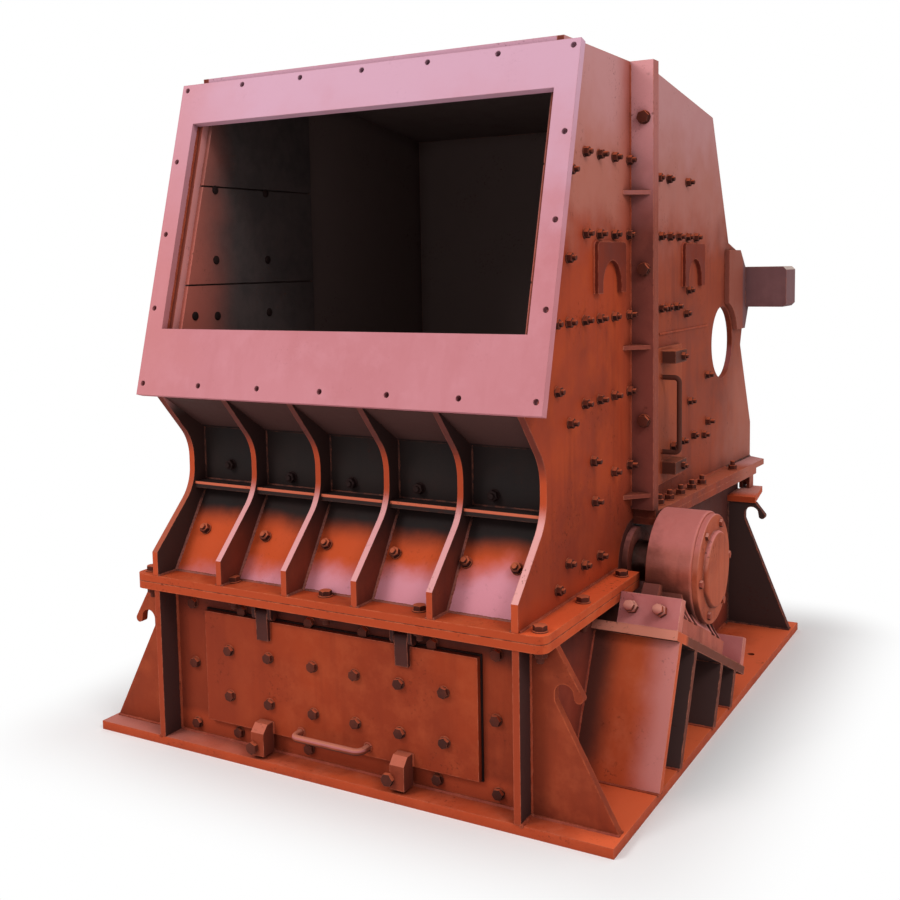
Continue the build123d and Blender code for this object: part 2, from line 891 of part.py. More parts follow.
# Folded wall of the recess: hood band, upright wall and sloped foot
slope_foot = (front_wall_y, housing_flange_z)
hood_head = mouth_point(0.0, -mouth_thk - hood_lap)
wall_points = [
    (hood_head[0], hood_head[1]),
    (recess_wall_y, recess_wall_high_z),
    (recess_wall_y, ledge_z - ledge_thk),
    slope_foot,
]
with BuildPart() as front_wall:
    with BuildSketch(side_view(-inner_half)):
        Polygon(
            *wall_points,
            (slope_foot[0] + wall_thk, slope_foot[1]),
            (recess_wall_y + wall_thk, ledge_z - ledge_thk),
            (recess_wall_y + wall_thk, recess_wall_high_z + wall_thk / 2),
            (hood_head[0] + wall_thk / 2, hood_head[1] + wall_thk),
        )
    extrude(amount=2 * inner_half)
save(front_wall, "recess_wall")

rib_places = [(i - (rib_count - 1) / 2) * rib_pitch for i in range(rib_count)]
with BuildPart() as front_ribs:
    for x in rib_places:
        with BuildSketch(side_view(x - rib_thk / 2)):
            with BuildLine():
                FilletPolyline(*rib_corners(), radius=rib_bend_r)
                Polyline(
                    mouth_point(0.0, -mouth_thk),
                    *wall_points,
                    (rib_nose_y, housing_flange_z),
                    (rib_nose_y, rib_nose_z),
                )
            make_face()
        extrude(amount=rib_thk)
save(front_ribs, "recess_ribs")

# Ledge plates between the ribs
bay_edges = [-inner_half, *rib_places, inner_half]
with BuildPart() as recess_ledge:
    for i, (a, b) in enumerate(zip(bay_edges, bay_edges[1:])):
        low = a + rib_thk / 2 if i else a
        high = b - rib_thk / 2 if i < rib_count else b
        with BuildSketch(side_view(low)):
            Polygon(
                (rib_back_y, ledge_z - ledge_thk),
                (recess_wall_y, ledge_z - ledge_thk),
                (recess_wall_y, ledge_z),
                (rib_back_y, ledge_z),
            )
        extrude(amount=high - low)
save(recess_ledge, "recess_ledge")

# Mouth frame
mouth_plane = Plane(
    origin=(0, mouth_foot_y, mouth_foot_z),
    x_dir=(1, 0, 0),
    z_dir=(0, -(mouth_head_z - mouth_foot_z), mouth_head_y - mouth_foot_y),
)
hole_low = mouth_hole_low
hole_high = mouth_length - mouth_hole_high
hole_rise = hole_high - hole_low
hole_side = mouth_half - mouth_hole_inset
with BuildPart() as mouth_frame:
    with BuildSketch(mouth_plane):
        with Locations((0, mouth_length / 2)):
            Rectangle(2 * mouth_half, mouth_length)
        with Locations((0, (mouth_sill + mouth_length - mouth_lintel) / 2)):
            Rectangle(
                2 * (mouth_half - mouth_side),
                mouth_length - mouth_lintel - mouth_sill,
                mode=Mode.SUBTRACT,
            )
        with Locations((0, (hole_low + hole_high) / 2)):
            across = 2 * hole_side / (mouth_holes_across - 1)
            with GridLocations(across, hole_rise, mouth_holes_across, 2):
                Circle(mouth_hole_r, mode=Mode.SUBTRACT)
            with GridLocations(2 * hole_side, hole_rise / (mouth_holes_up - 1), 2, mouth_holes_up):
                Circle(mouth_hole_r, mode=Mode.SUBTRACT)
    extrude(amount=-mouth_thk)
save(mouth_frame, "mouth_frame")

with BuildPart() as front_top:
    top_front_y = mouth_point(mouth_length, -mouth_thk)[0]
    with BuildSketch(side_view(-inner_half)):
        Polygon(
            (top_front_y, housing_top_z - top_plate_thk),
            (axis_y, housing_top_z - top_plate_thk),
            (axis_y, housing_top_z),
            (top_front_y, housing_top_z),
        )
    extrude(amount=2 * inner_half)
save(front_top, "front_top_plate")

with BuildPart() as front_split:
    with BuildSketch(front_view(axis_y)):
        Polygon(
            (housing_half, split_low_z),
            (flange_half, split_low_z),
            (flange_half, housing_top_z),
            (housing_half, housing_top_z),
        )
    extrude(amount=split_thk)
    for z in tab_heights:
        with BuildSketch(Plane.XY.offset(z)):
            Polygon(
                (housing_half, axis_y - split_thk),
                (flange_half - tab_inset, axis_y - split_thk),
                (housing_half, axis_y - split_thk - tab_length),
            )
        extrude(amount=tab_thk)
    mirror(about=Plane.YZ)
save(front_split, "front_split_flange")


def arch_pad(y):
    """Pads welded on both side plates at depth y, open at the foot under a round head."""
    with BuildPart() as pads:
        with BuildSketch(side_view(housing_half)) as outline:
            with Locations((y, (arch_foot_z + arch_pad_top_z) / 2)):
                Rectangle(2 * arch_pad_half, arch_pad_top_z - arch_foot_z)
            fillet(outline.vertices().group_by(Axis.Y)[-1], arch_pad_corner_r)
            with Locations((y, arch_spring_z)):
                Circle(arch_hole_r, mode=Mode.SUBTRACT)
            with Locations((y, (arch_foot_z + arch_spring_z) / 2)):
                Rectangle(2 * arch_hole_r, arch_spring_z - arch_foot_z, mode=Mode.SUBTRACT)
        extrude(amount=arch_pad_thk)
        mirror(about=Plane.YZ)
    return pads


save(arch_pad(front_arch_y), "front_arch_pads")
save(arch_pad(rear_arch_y), "rear_arch_pads")

# Side liners in rows with open joints, seen through the mouth
liner_rise = (housing_top_z - liner_top_gap - liner_low_z) / liner_count
with BuildPart() as side_liners:
    for i in range(liner_count):
        low = liner_low_z + i * liner_rise + liner_joint
        high = liner_low_z + (i + 1) * liner_rise
        with BuildSketch(side_view(inner_half - liner_thk)):
            Polygon(
                (mouth_depth(low) + liner_front_gap, low),
                (axis_y - liner_back_gap, low),
                (axis_y - liner_back_gap, high),
                (mouth_depth(high) + liner_front_gap, high),
            )
        extrude(amount=liner_thk)
    mirror(about=Plane.YZ)
save(side_liners, "side_liners")

# Feed plate from the sill down to the breaker plate
sill = mouth_point(mouth_sill, -mouth_thk)
with BuildPart() as feed_plate:
    with BuildSketch(side_view(-inner_half + liner_thk)):
        Polygon(
            (sill[0], sill[1]),
            (chute_low_y, chute_low_z),
            (chute_low_y, chute_low_z - feed_thk),
            (sill[0], sill[1] - feed_thk),
        )
    extrude(amount=2 * (inner_half - liner_thk))
save(feed_plate, "feed_plate")

with BuildPart() as breaker:
    with BuildSketch(side_view(-inner_half + liner_thk)):
        Polygon(
            (chute_low_y - breaker_thk, chute_low_z - feed_thk),
            (chute_low_y, chute_low_z - feed_thk),
            (chute_low_y, breaker_low_z),
            (chute_low_y - breaker_thk, breaker_low_z),
        )
    extrude(amount=2 * (inner_half - liner_thk))
save(breaker, "breaker_plate")


# Rear housing, which swings back on its hinge
def rear_side(x):
    """Side plate of the rear housing with its round port."""
    with BuildPart() as plate:
        with BuildSketch(side_view(x)):
            Polygon(
                (rear_gap_y, rise(rear_gap_y) + joint_gap),
                (rear_gap_y, housing_top_z),
                (rear_top_y, housing_top_z),
                (rear_shoulder_y, rear_shoulder_z),
                (rear_waist_y, rear_waist_z),
                (ear_tip_y, ear_tip_z),
                (beam_front_y, beam_high_z),
                (beam_front_y, beam_low_z),
                (tail_shelf_y, beam_low_z),
                (tail_shelf_y, tail_shelf_z),
                (tail_kink_y, tail_kink_z),
                (tail_low_y, tail_low_z),
                (tail_low_y, rise(tail_low_y) + joint_gap),
            )
            with Locations((port_y, port_z)):
                Circle(port_r, mode=Mode.SUBTRACT)
        extrude(amount=side_thk)
    return plate


save(rear_side(inner_half), "rear_side_plate_right")
save(rear_side(-housing_half), "rear_side_plate_left")

with BuildPart() as rear_top:
    with BuildSketch(side_view(-inner_half)):
        Polygon(
            (rear_gap_y, housing_top_z - top_plate_thk),
            (rear_gap_y, housing_top_z),
            (rear_top_y, housing_top_z),
            (rear_shoulder_y, rear_shoulder_z),
            (rear_shoulder_y, rear_shoulder_z - top_plate_thk),
            (rear_top_y, housing_top_z - top_plate_thk),
        )
    extrude(amount=2 * inner_half)
save(rear_top, "rear_top_plate")

with BuildPart() as rear_bulkhead:
    bulkhead_back = rear_bulkhead_y + wall_thk
    under_top = (rear_shoulder_z - housing_top_z) / (rear_shoulder_y - rear_top_y)
    with BuildSketch(side_view(-inner_half)):
        Polygon(
            (rear_bulkhead_y, rise(rear_bulkhead_y) + joint_gap),
            (bulkhead_back, rise(bulkhead_back) + joint_gap),
            (
                bulkhead_back,
                housing_top_z - top_plate_thk + under_top * (bulkhead_back - rear_top_y),
            ),
            (
                rear_bulkhead_y,
                housing_top_z - top_plate_thk + under_top * (rear_bulkhead_y - rear_top_y),
            ),
        )
    extrude(amount=2 * inner_half)
save(rear_bulkhead, "rear_bulkhead")

with BuildPart() as rear_flange:
    with BuildSketch(side_view(housing_half)):
        Polygon(
            (rear_gap_y, rise(rear_gap_y) + joint_gap),
            (rear_gap_y, rise(rear_gap_y) + joint_gap + rear_flange_thk),
            (tail_low_y, rise(tail_low_y) + joint_gap + rear_flange_thk),
            (tail_low_y, rise(tail_low_y) + joint_gap),
        )
    extrude(amount=flange_reach)
    with BuildSketch(Plane.XY.offset(joint_z)):
        Polygon(
            (housing_half, tail_low_y),
            (flange_half, tail_corner_y),
            (flange_half, tail_low_y),
        )
    extrude(amount=rise_front_z - joint_z, mode=Mode.SUBTRACT)
    mirror(about=Plane.YZ)
save(rear_flange, "rear_housing_flange")

# Matching flange on the base riser
with BuildPart() as riser_flange:
    with BuildSketch(side_view(housing_half)):
        Polygon(
            (axis_y, rise(axis_y) - rear_flange_thk),
            (axis_y, rise(axis_y)),
            (riser_rear_y, rise(riser_rear_y)),
            (riser_rear_y, rise(riser_rear_y) - rear_flange_thk),
        )
    extrude(amount=flange_reach)
    mirror(about=Plane.YZ)
save(riser_flange, "riser_flange")

with BuildPart() as rear_split:
    with BuildSketch(front_view(rear_gap_y + split_thk)):
        Polygon(
            (housing_half, rise(axis_y) + rear_flange_thk + joint_gap),
            (flange_half, rise(axis_y) + rear_flange_thk + joint_gap),
            (flange_half, housing_top_z),
            (housing_half, housing_top_z),
        )
    extrude(amount=split_thk)
    mirror(about=Plane.YZ)
save(rear_split, "rear_split_flange")

with BuildPart() as rear_lugs:
    lug_x = lug_outer_x - 2 * lug_thk - lug_gap
    with BuildSketch(side_view(lug_x)):
        with Locations((pivot_y, pivot_z)):
            Circle(lug_r)
        Polygon(
            (pivot_y - lug_r, pivot_z),
            (pivot_y - lug_r, rise(pivot_y - lug_r) + joint_gap),
            (pivot_y + lug_r, rise(pivot_y + lug_r) + joint_gap),
            (pivot_y + lug_r, pivot_z),
        )
        with Locations((pivot_y, pivot_z)):
            Circle(pivot_pin_r + running_gap, mode=Mode.SUBTRACT)
    extrude(amount=lug_thk)
    mirror(about=Plane.YZ)
save(rear_lugs, "rear_hinge_lugs")

# Cross beam behind the side plates, on doubler ears
with BuildPart() as cross_beam:
    with BuildSketch(side_view(-beam_half)):
        with Locations((beam_front_y + beam_depth / 2, (beam_low_z + beam_high_z) / 2)):
            Rectangle(beam_depth, beam_high_z - beam_low_z)
    extrude(amount=2 * beam_half)
    ends = edges().filter_by(Axis.Y).group_by(Axis.X)
    chamfer(ends[0] + ends[-1], beam_chamfer)
    with BuildSketch(side_view(housing_half)):
        Polygon(
            (ear_front_y, ear_low_z),
            (tail_kink_y, ear_low_z),
            (tail_shelf_y, beam_low_z),
            (beam_front_y, beam_low_z),
            (beam_front_y, beam_high_z),
            (ear_tip_y, ear_tip_z),
            (ear_front_y, ear_tip_z),
        )
        with Locations((port_y, port_z)):
            Circle(port_r + ear_port_gap, mode=Mode.SUBTRACT)
    extrude(amount=ear_thk)
    mirror(about=Plane.YZ)
save(cross_beam, "rear_cross_beam")

# Side hatches with clamp blocks and a bent pull rod
with BuildPart() as hatches:
    with BuildSketch(side_view(housing_half)):
        with Locations((hatch_y, (hatch_low_z + hatch_high_z) / 2)):
            Rectangle(2 * hatch_half, hatch_high_z - hatch_low_z)
    extrude(amount=hatch_thk)
    with BuildSketch(side_view(housing_half + hatch_thk)):
        with Locations(*[(hatch_block_y, z) for z in hatch_block_levels]):
            Rectangle(hatch_block_length, hatch_block_height)
    extrude(amount=hatch_block_reach)
    rod_x = housing_half + hatch_thk + hatch_rod_reach
    with BuildLine() as rod_line:
        FilletPolyline(
            (housing_half + hatch_thk, hatch_rod_y, hatch_rod_low_z),
            (rod_x, hatch_rod_y, hatch_rod_low_z),
            (rod_x, hatch_rod_y, hatch_rod_high_z),
            (housing_half + hatch_thk, hatch_rod_y, hatch_rod_high_z),
            radius=2 * hatch_rod_r,
        )
    with BuildSketch(side_view(housing_half + hatch_thk)):
        with Locations((hatch_rod_y, hatch_rod_low_z)):
            Circle(hatch_rod_r)
    sweep(path=rod_line.line)
    mirror(about=Plane.YZ)
save(hatches, "side_hatches")
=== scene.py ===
"""Looks of a hammer crusher: brushed red oxide paint, castings, bolts, nuts and weld beads."""

import logging
import math
import random
from dataclasses import dataclass, field
from enum import Enum
from typing import Sequence

import bpy
from mathutils import Matrix, Vector, noise


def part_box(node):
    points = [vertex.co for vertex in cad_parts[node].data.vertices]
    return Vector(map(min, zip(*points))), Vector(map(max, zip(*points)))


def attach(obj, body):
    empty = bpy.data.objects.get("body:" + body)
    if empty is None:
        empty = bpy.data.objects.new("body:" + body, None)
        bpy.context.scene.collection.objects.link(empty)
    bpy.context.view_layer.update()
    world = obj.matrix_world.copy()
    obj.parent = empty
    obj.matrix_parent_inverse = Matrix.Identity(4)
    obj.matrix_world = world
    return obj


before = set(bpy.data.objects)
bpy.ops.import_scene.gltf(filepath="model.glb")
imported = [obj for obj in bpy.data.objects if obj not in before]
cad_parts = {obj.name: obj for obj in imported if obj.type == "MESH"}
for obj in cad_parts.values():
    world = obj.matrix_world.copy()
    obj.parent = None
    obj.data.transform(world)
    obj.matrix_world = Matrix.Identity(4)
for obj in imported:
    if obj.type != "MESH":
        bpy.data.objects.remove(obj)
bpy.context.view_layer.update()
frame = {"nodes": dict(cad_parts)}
LOG = logging.getLogger("crusher")

Pair = tuple[float, float]
Triple = tuple[float, float, float]
Colour = tuple[float, float, float, float]
Row = tuple[float, tuple[float, ...]]
Sockets = dict[str | int, object]
SIDES = (1.0, -1.0)
WANDER_SEED = 7
UP = Vector((0.0, 0.0, 1.0))
FORWARD = Vector((0.0, -1.0, 0.0))


class Body(Enum):
    """Moving bodies that a piece can ride on."""

    BASE = "base"
    DOOR = "access_door"
    ROTOR = "rotor"
    REAR = "rear_housing"


class Slot(Enum):
    """Finishes named by the part's record."""

    PAINT = "red_oxide_paint"
    CASTING = "painted_casting"
    SHAFT = "bare_shaft_steel"
    WEAR = "wear_steel"


def srgb(red: float, green: float, blue: float) -> Colour:
    """Turns a given colour into the linear colour a shader takes, by the sRGB curve.

    Args:
        red: Red, 0 to 255.
        green: Green, 0 to 255.
        blue: Blue, 0 to 255.

    Returns:
        The linear colour with full alpha.
    """
    scaled = (value / 255.0 for value in (red, green, blue))
    linear = [v / 12.92 if v <= 0.04045 else ((v + 0.055) / 1.055) ** 2.4 for v in scaled]
    return (*linear, 1.0)


# Shader nets


class Net:
    """Adds nodes to one node tree, in rows, and joins them."""

    MIX_FACTOR, MIX_UNDER, MIX_OVER, MIX_RESULT = 0, 6, 7, 2
    ROW, STEP_X, STEP_Y = 8, 220, 320

    def __init__(self, tree: bpy.types.NodeTree) -> None:
        """Keeps the tree and counts its nodes, so that they are laid out in rows."""
        self.tree = tree
        self.count = 0

    def add(self, kind: str, values: Sockets | None = None, **settings: object) -> bpy.types.Node:
        """Adds a node.

        Args:
            kind: The node's type name.
            values: Input sockets, by name or number, with a value or an output to join.
            settings: Properties of the node itself, set before the sockets.

        Returns:
            The new node.
        """
        node = self.tree.nodes.new(kind)
        node.location = (self.count % self.ROW * self.STEP_X,
                         -(self.count // self.ROW) * self.STEP_Y)
        self.count += 1
        for name, value in settings.items():
            setattr(node, name, value)
        for name, value in (values or {}).items():
            self.put(node.inputs[name], value)
        return node

    def put(self, socket: bpy.types.NodeSocket, value: object) -> None:
        """Joins an output to a socket, or sets the socket's own value.

        Args:
            socket: The input socket.
            value: An output socket, or a number, vector or colour.
        """
        if isinstance(value, bpy.types.NodeSocket):
            self.tree.links.new(value, socket)
        else:
            socket.default_value = value

    def maths(self, operation: str, *terms: object, clamp: bool = False) -> bpy.types.NodeSocket:
        """Adds a Math node.

        Args:
            operation: The sum it does.
            terms: Its inputs, in order, as numbers or outputs.
            clamp: Whether the result is kept between 0 and 1.

        Returns:
            Its output.
        """
        node = self.add("ShaderNodeMath", dict(enumerate(terms)), operation=operation)
        node.use_clamp = clamp
        return node.outputs[0]

    def ramp(self, value: object, low: object, high: object) -> bpy.types.NodeSocket:
        """Adds a smooth step.

        Args:
            value: The number or output that is read.
            low: Where the step starts, a number or an output.
            high: Where it is full, the same.

        Returns:
            0 below low, 1 above high, and a smooth rise between them.
        """
        settings = {"Value": value, "From Min": low, "From Max": high}
        node = self.add("ShaderNodeMapRange", settings, interpolation_type="SMOOTHSTEP")
        return node.outputs[0]

    def blend(self, mask: object, under: object, over: object) -> bpy.types.NodeSocket:
        """Lays one colour over another.

        Args:
            mask: How much of the upper one shows, 0 to 1.
            under: The lower colour.
            over: The upper colour.

        Returns:
            The mixed colour.
        """
        node = self.add("ShaderNodeMix", data_type="RGBA", blend_type="MIX")
        for socket, value in ((self.MIX_FACTOR, mask), (self.MIX_UNDER, under),
                              (self.MIX_OVER, over)):
            self.put(node.inputs[socket], value)
        return node.outputs[self.MIX_RESULT]

    def stretch(self, where: object, scale: Triple) -> bpy.types.NodeSocket:
        """Returns a point scaled along each axis."""
        return self.add("ShaderNodeMapping", {"Vector": where, "Scale": scale}).outputs[0]

    def alike(self, one: object, other: object) -> bpy.types.NodeSocket:
        """Returns the dot product of two directions."""
        node = self.add("ShaderNodeVectorMath", {0: one, 1: other}, operation="DOT_PRODUCT")
        return node.outputs["Value"]

    def grain(self, where: object, scale: float, detail: float = 3.0,
              rough: float = 0.55) -> bpy.types.NodeSocket:
        """Adds a noise texture.

        Args:
            where: The point that it is read at.
            scale: Its number of lumps to the metre.
            detail: How many finer layers it has.
            rough: How strong each finer layer is.

        Returns:
            Its value, 0 to 1.
        """
        settings = {"Vector": where, "Scale": scale, "Detail": detail, "Roughness": rough}
        return self.add("ShaderNodeTexNoise", settings).outputs["Fac"]


class Effects:
    """Shader node groups shared by the finishes."""

    def __init__(self) -> None:
        """Builds every group once."""
        self.paint_film = self._paint_film()
        self.edge_wear = self._edge_wear()
        self.sky_sheen = self._sky_sheen()
        self.corner_shade = self._corner_shade()
        self.rust_specks = self._rust_specks()
        self.inward = self._inward()
        self.tint_field = self._tint_field()

    @staticmethod
    def _start(
        name: str, inputs: dict[str, str], outputs: dict[str, str]
    ) -> tuple[Net, bpy.types.Node, bpy.types.Node]:
        """Makes an empty group with named sockets.

        Args:
            name: The group's name.
            inputs: Socket name to kind: Color, Float or Vector.
            outputs: The same for what it puts out.

        Returns:
            Its net, its input node and its output node.
        """
        tree = bpy.data.node_groups.new(name, "ShaderNodeTree")
        for way, sockets in (("INPUT", inputs), ("OUTPUT", outputs)):
            for socket, kind in sockets.items():
                tree.interface.new_socket(socket, in_out=way, socket_type=f"NodeSocket{kind}")
        net = Net(tree)
        return net, net.add("NodeGroupInput"), net.add("NodeGroupOutput")

    @staticmethod
    def _close(net: Net, start: bpy.types.Node, end: bpy.types.Node,
               mask: object) -> bpy.types.NodeTree:
        """Puts out a mask times the group's amount, kept between 0 and 1.

        Args:
            net: The group's net.
            start: Its input node.
            end: Its output node.
            mask: The mask at full amount.

        Returns:
            The finished group.
        """
        amount = start.outputs["Amount"]
        net.put(end.inputs["Mask"], net.maths("MULTIPLY", mask, amount, clamp=True))
        return net.tree

    def _paint_film(self) -> bpy.types.NodeTree:
        """Builds the blotches, brush marks and runs in a coat of paint.

        Returns:
            The group, which puts out a colour, a roughness and a height.
        """
        inputs = {"Base": "Color", "Shade": "Color", "Pale": "Color", "Strength": "Float"}
        outputs = {"Color": "Color", "Rough": "Float", "Height": "Float"}
        net, start, end = self._start("paint_film", inputs, outputs)
        where = net.add("ShaderNodeTexCoord").outputs["Object"]
        runs = net.stretch(where, (1.0, 1.0, 0.09))
        brush = net.stretch(where, (0.12, 0.12, 1.0))
        clouds = net.ramp(net.grain(where, 2.6, 5.0), 0.36, 0.66)
        patches = net.ramp(net.grain(where, 11.0, 4.0, 0.62), 0.42, 0.70)
        drips = net.ramp(net.grain(runs, 17.0, 3.0), 0.48, 0.72)
        strokes = net.grain(brush, 60.0, 2.0)
        fine = net.grain(where, 420.0, 2.0)
        strength = start.outputs["Strength"]
        shaded = net.blend(net.maths("MULTIPLY", clouds, strength), start.outputs["Base"],
                           start.outputs["Shade"])
        paled = net.blend(net.maths("MULTIPLY", patches, 0.38), shaded, start.outputs["Pale"])
        dripped = net.blend(net.maths("MULTIPLY", drips, net.maths("MULTIPLY", strength, 0.60)),
                            paled, start.outputs["Shade"])
        net.put(end.inputs["Color"], dripped)
        rough = net.maths("MULTIPLY_ADD", patches, 0.14, 0.62)
        net.put(end.inputs["Rough"], net.maths("MULTIPLY_ADD", fine, 0.10, rough))
        ripple = net.maths("MULTIPLY_ADD", strokes, 0.35, net.maths("MULTIPLY", fine, 0.22))
        net.put(end.inputs["Height"], net.maths("ADD", ripple, net.maths("MULTIPLY", patches, 0.5)))
        return net.tree

    def _edge_wear(self) -> bpy.types.NodeTree:
        """Builds the mask of rubbed edges, broken up by noise.

        Returns:
            The group, which puts out the mask.
        """
        net, start, end = self._start("edge_wear", {"Radius": "Float", "Amount": "Float"},
                                      {"Mask": "Float"})
        rounded = net.add("ShaderNodeBevel", {"Radius": start.outputs["Radius"]},
                          samples=4).outputs[0]
        flat = net.add("ShaderNodeNewGeometry").outputs["True Normal"]
        edge = net.ramp(net.maths("SUBTRACT", 1.0, net.alike(rounded, flat)), 0.015, 0.16)
        where = net.add("ShaderNodeTexCoord").outputs["Object"]
        broken = net.ramp(net.grain(where, 34.0, 4.0, 0.7), 0.34, 0.62)
        worn = net.maths("MULTIPLY", edge, broken)
        return self._close(net, start, end, worn)

    def _sky_sheen(self) -> bpy.types.NodeTree:
        """Builds the mask of painted sheen: the mauve that the sky's reflection gives the red paint
        on faces that lean forward and up.

        Returns:
            The group, which puts out the mask.
        """
        net, start, end = self._start("sky_sheen", {"Amount": "Float"}, {"Mask": "Float"})
        coords = net.add("ShaderNodeTexCoord")
        normal = net.add("ShaderNodeSeparateXYZ", {0: coords.outputs["Normal"]})
        rise = net.ramp(normal.outputs["Z"], 0.08, 0.30)
        fall = net.maths("SUBTRACT", 1.0, net.ramp(normal.outputs["Z"], 0.62, 0.97))
        facing = net.ramp(net.maths("MULTIPLY", normal.outputs["Y"], -1.0), -0.05, 0.35)
        tops = net.maths("MULTIPLY", net.ramp(normal.outputs["Z"], 0.90, 0.99), 0.30)
        lean = net.maths("MULTIPLY", net.maths("MULTIPLY", rise, fall), facing)
        cloud = net.ramp(net.grain(coords.outputs["Object"], 3.4, 4.0), 0.22, 0.55)
        broken = net.maths("MULTIPLY_ADD", cloud, 0.40, 0.60)
        total = net.maths("MULTIPLY", net.maths("MAXIMUM", lean, tops), broken)
        return self._close(net, start, end, total)

    def _corner_shade(self) -> bpy.types.NodeTree:
        """Builds the mask of painted shade that darkens the paint where faces meet, broken up by
        noise.

        Returns:
            The group, which puts out the mask.
        """
        net, start, end = self._start("corner_shade", {"Reach": "Float", "Amount": "Float"},
                                      {"Mask": "Float"})
        settings = {"Distance": start.outputs["Reach"]}
        open_sky = net.add("ShaderNodeAmbientOcclusion", settings, samples=6).outputs["AO"]
        where = net.add("ShaderNodeTexCoord").outputs["Object"]
        patchy = net.maths("MULTIPLY_ADD", net.grain(where, 9.0, 4.0), 0.9, 0.35)
        closed = net.ramp(net.maths("SUBTRACT", 1.0, open_sky), 0.18, 0.85)
        total = net.maths("MULTIPLY", closed, patchy)
        return self._close(net, start, end, total)

    def _rust_specks(self) -> bpy.types.NodeTree:
        """Builds the mask of small rust specks in loose groups.

        Returns:
            The group, which puts out the mask.
        """
        net, start, end = self._start("rust_specks", {"Amount": "Float"}, {"Mask": "Float"})
        where = net.add("ShaderNodeTexCoord").outputs["Object"]
        groups = net.ramp(net.grain(where, 5.0, 3.0), 0.50, 0.68)
        specks = net.ramp(net.grain(where, 85.0, 5.0, 0.7), 0.56, 0.66)
        total = net.maths("MULTIPLY", groups, specks)
        return self._close(net, start, end, total)

    def _inward(self) -> bpy.types.NodeTree:
        """Builds the mask of faces that look along a direction, for the painted shade on the inside
        of a plate.

        Returns:
            The group, which puts out the mask.
        """
        net, start, end = self._start("inward", {"Direction": "Vector"}, {"Mask": "Float"})
        normal = net.add("ShaderNodeTexCoord").outputs["Normal"]
        alike = net.alike(normal, start.outputs["Direction"])
        net.put(end.inputs["Mask"], net.ramp(alike, 0.70, 0.90))
        return net.tree

    def _tint_field(self) -> bpy.types.NodeTree:
        """Builds the mask of a tint: ragged at its start, and only on faces turned one way.

        Returns:
            The group, which puts out the mask.
        """
        inputs = {"Along": "Vector", "Start": "Float", "Full": "Float", "Ragged": "Float",
                  "Facing": "Vector", "Turn": "Float", "Amount": "Float"}
        net, start, end = self._start("tint_field", inputs, {"Mask": "Float"})
        coords = net.add("ShaderNodeTexCoord")
        reach = net.alike(coords.outputs["Object"], start.outputs["Along"])
        wander = net.maths("SUBTRACT", net.grain(coords.outputs["Object"], 6.0, 4.0), 0.5)
        placed = net.maths("MULTIPLY_ADD", wander, start.outputs["Ragged"], reach)
        grown = net.ramp(placed, start.outputs["Start"], start.outputs["Full"])
        alike = net.alike(coords.outputs["Normal"], start.outputs["Facing"])
        turned = net.ramp(net.maths("SUBTRACT", alike, start.outputs["Turn"]), -0.12, 0.12)
        total = net.maths("MULTIPLY", grown, turned)
        return self._close(net, start, end, total)


@dataclass(frozen=True)
class Tint:
    """A second colour that grows along a direction, on faces turned one way.

    Attributes:
        colour: The colour.
        along: The direction that it grows in.
        start: How far along the world's origin it begins, in metres.
        full: Where it reaches its amount.
        amount: How much of it shows at most.
        ragged: How far its front wanders, in metres.
        facing: The direction that tinted faces look in, or nought for all faces.
        turn: The cosine to that direction at which half of it shows.
    """

    colour: Colour
    along: Triple
    start: float
    full: float
    amount: float = 1.0
    ragged: float = 0.25
    facing: Triple = (0.0, 0.0, 0.0)
    turn: float = -1.0

    def mask(self, net: Net, effects: Effects) -> bpy.types.NodeSocket:
        """Places the tint's field in a material.

        Args:
            net: The material's net.
            effects: The node groups.

        Returns:
            The mask of the tint.
        """
        values = {"Along": self.along, "Start": self.start, "Full": self.full,
                  "Ragged": self.ragged, "Facing": self.facing, "Turn": self.turn,
                  "Amount": self.amount}
        return net.add("ShaderNodeGroup", values, node_tree=effects.tint_field).outputs["Mask"]


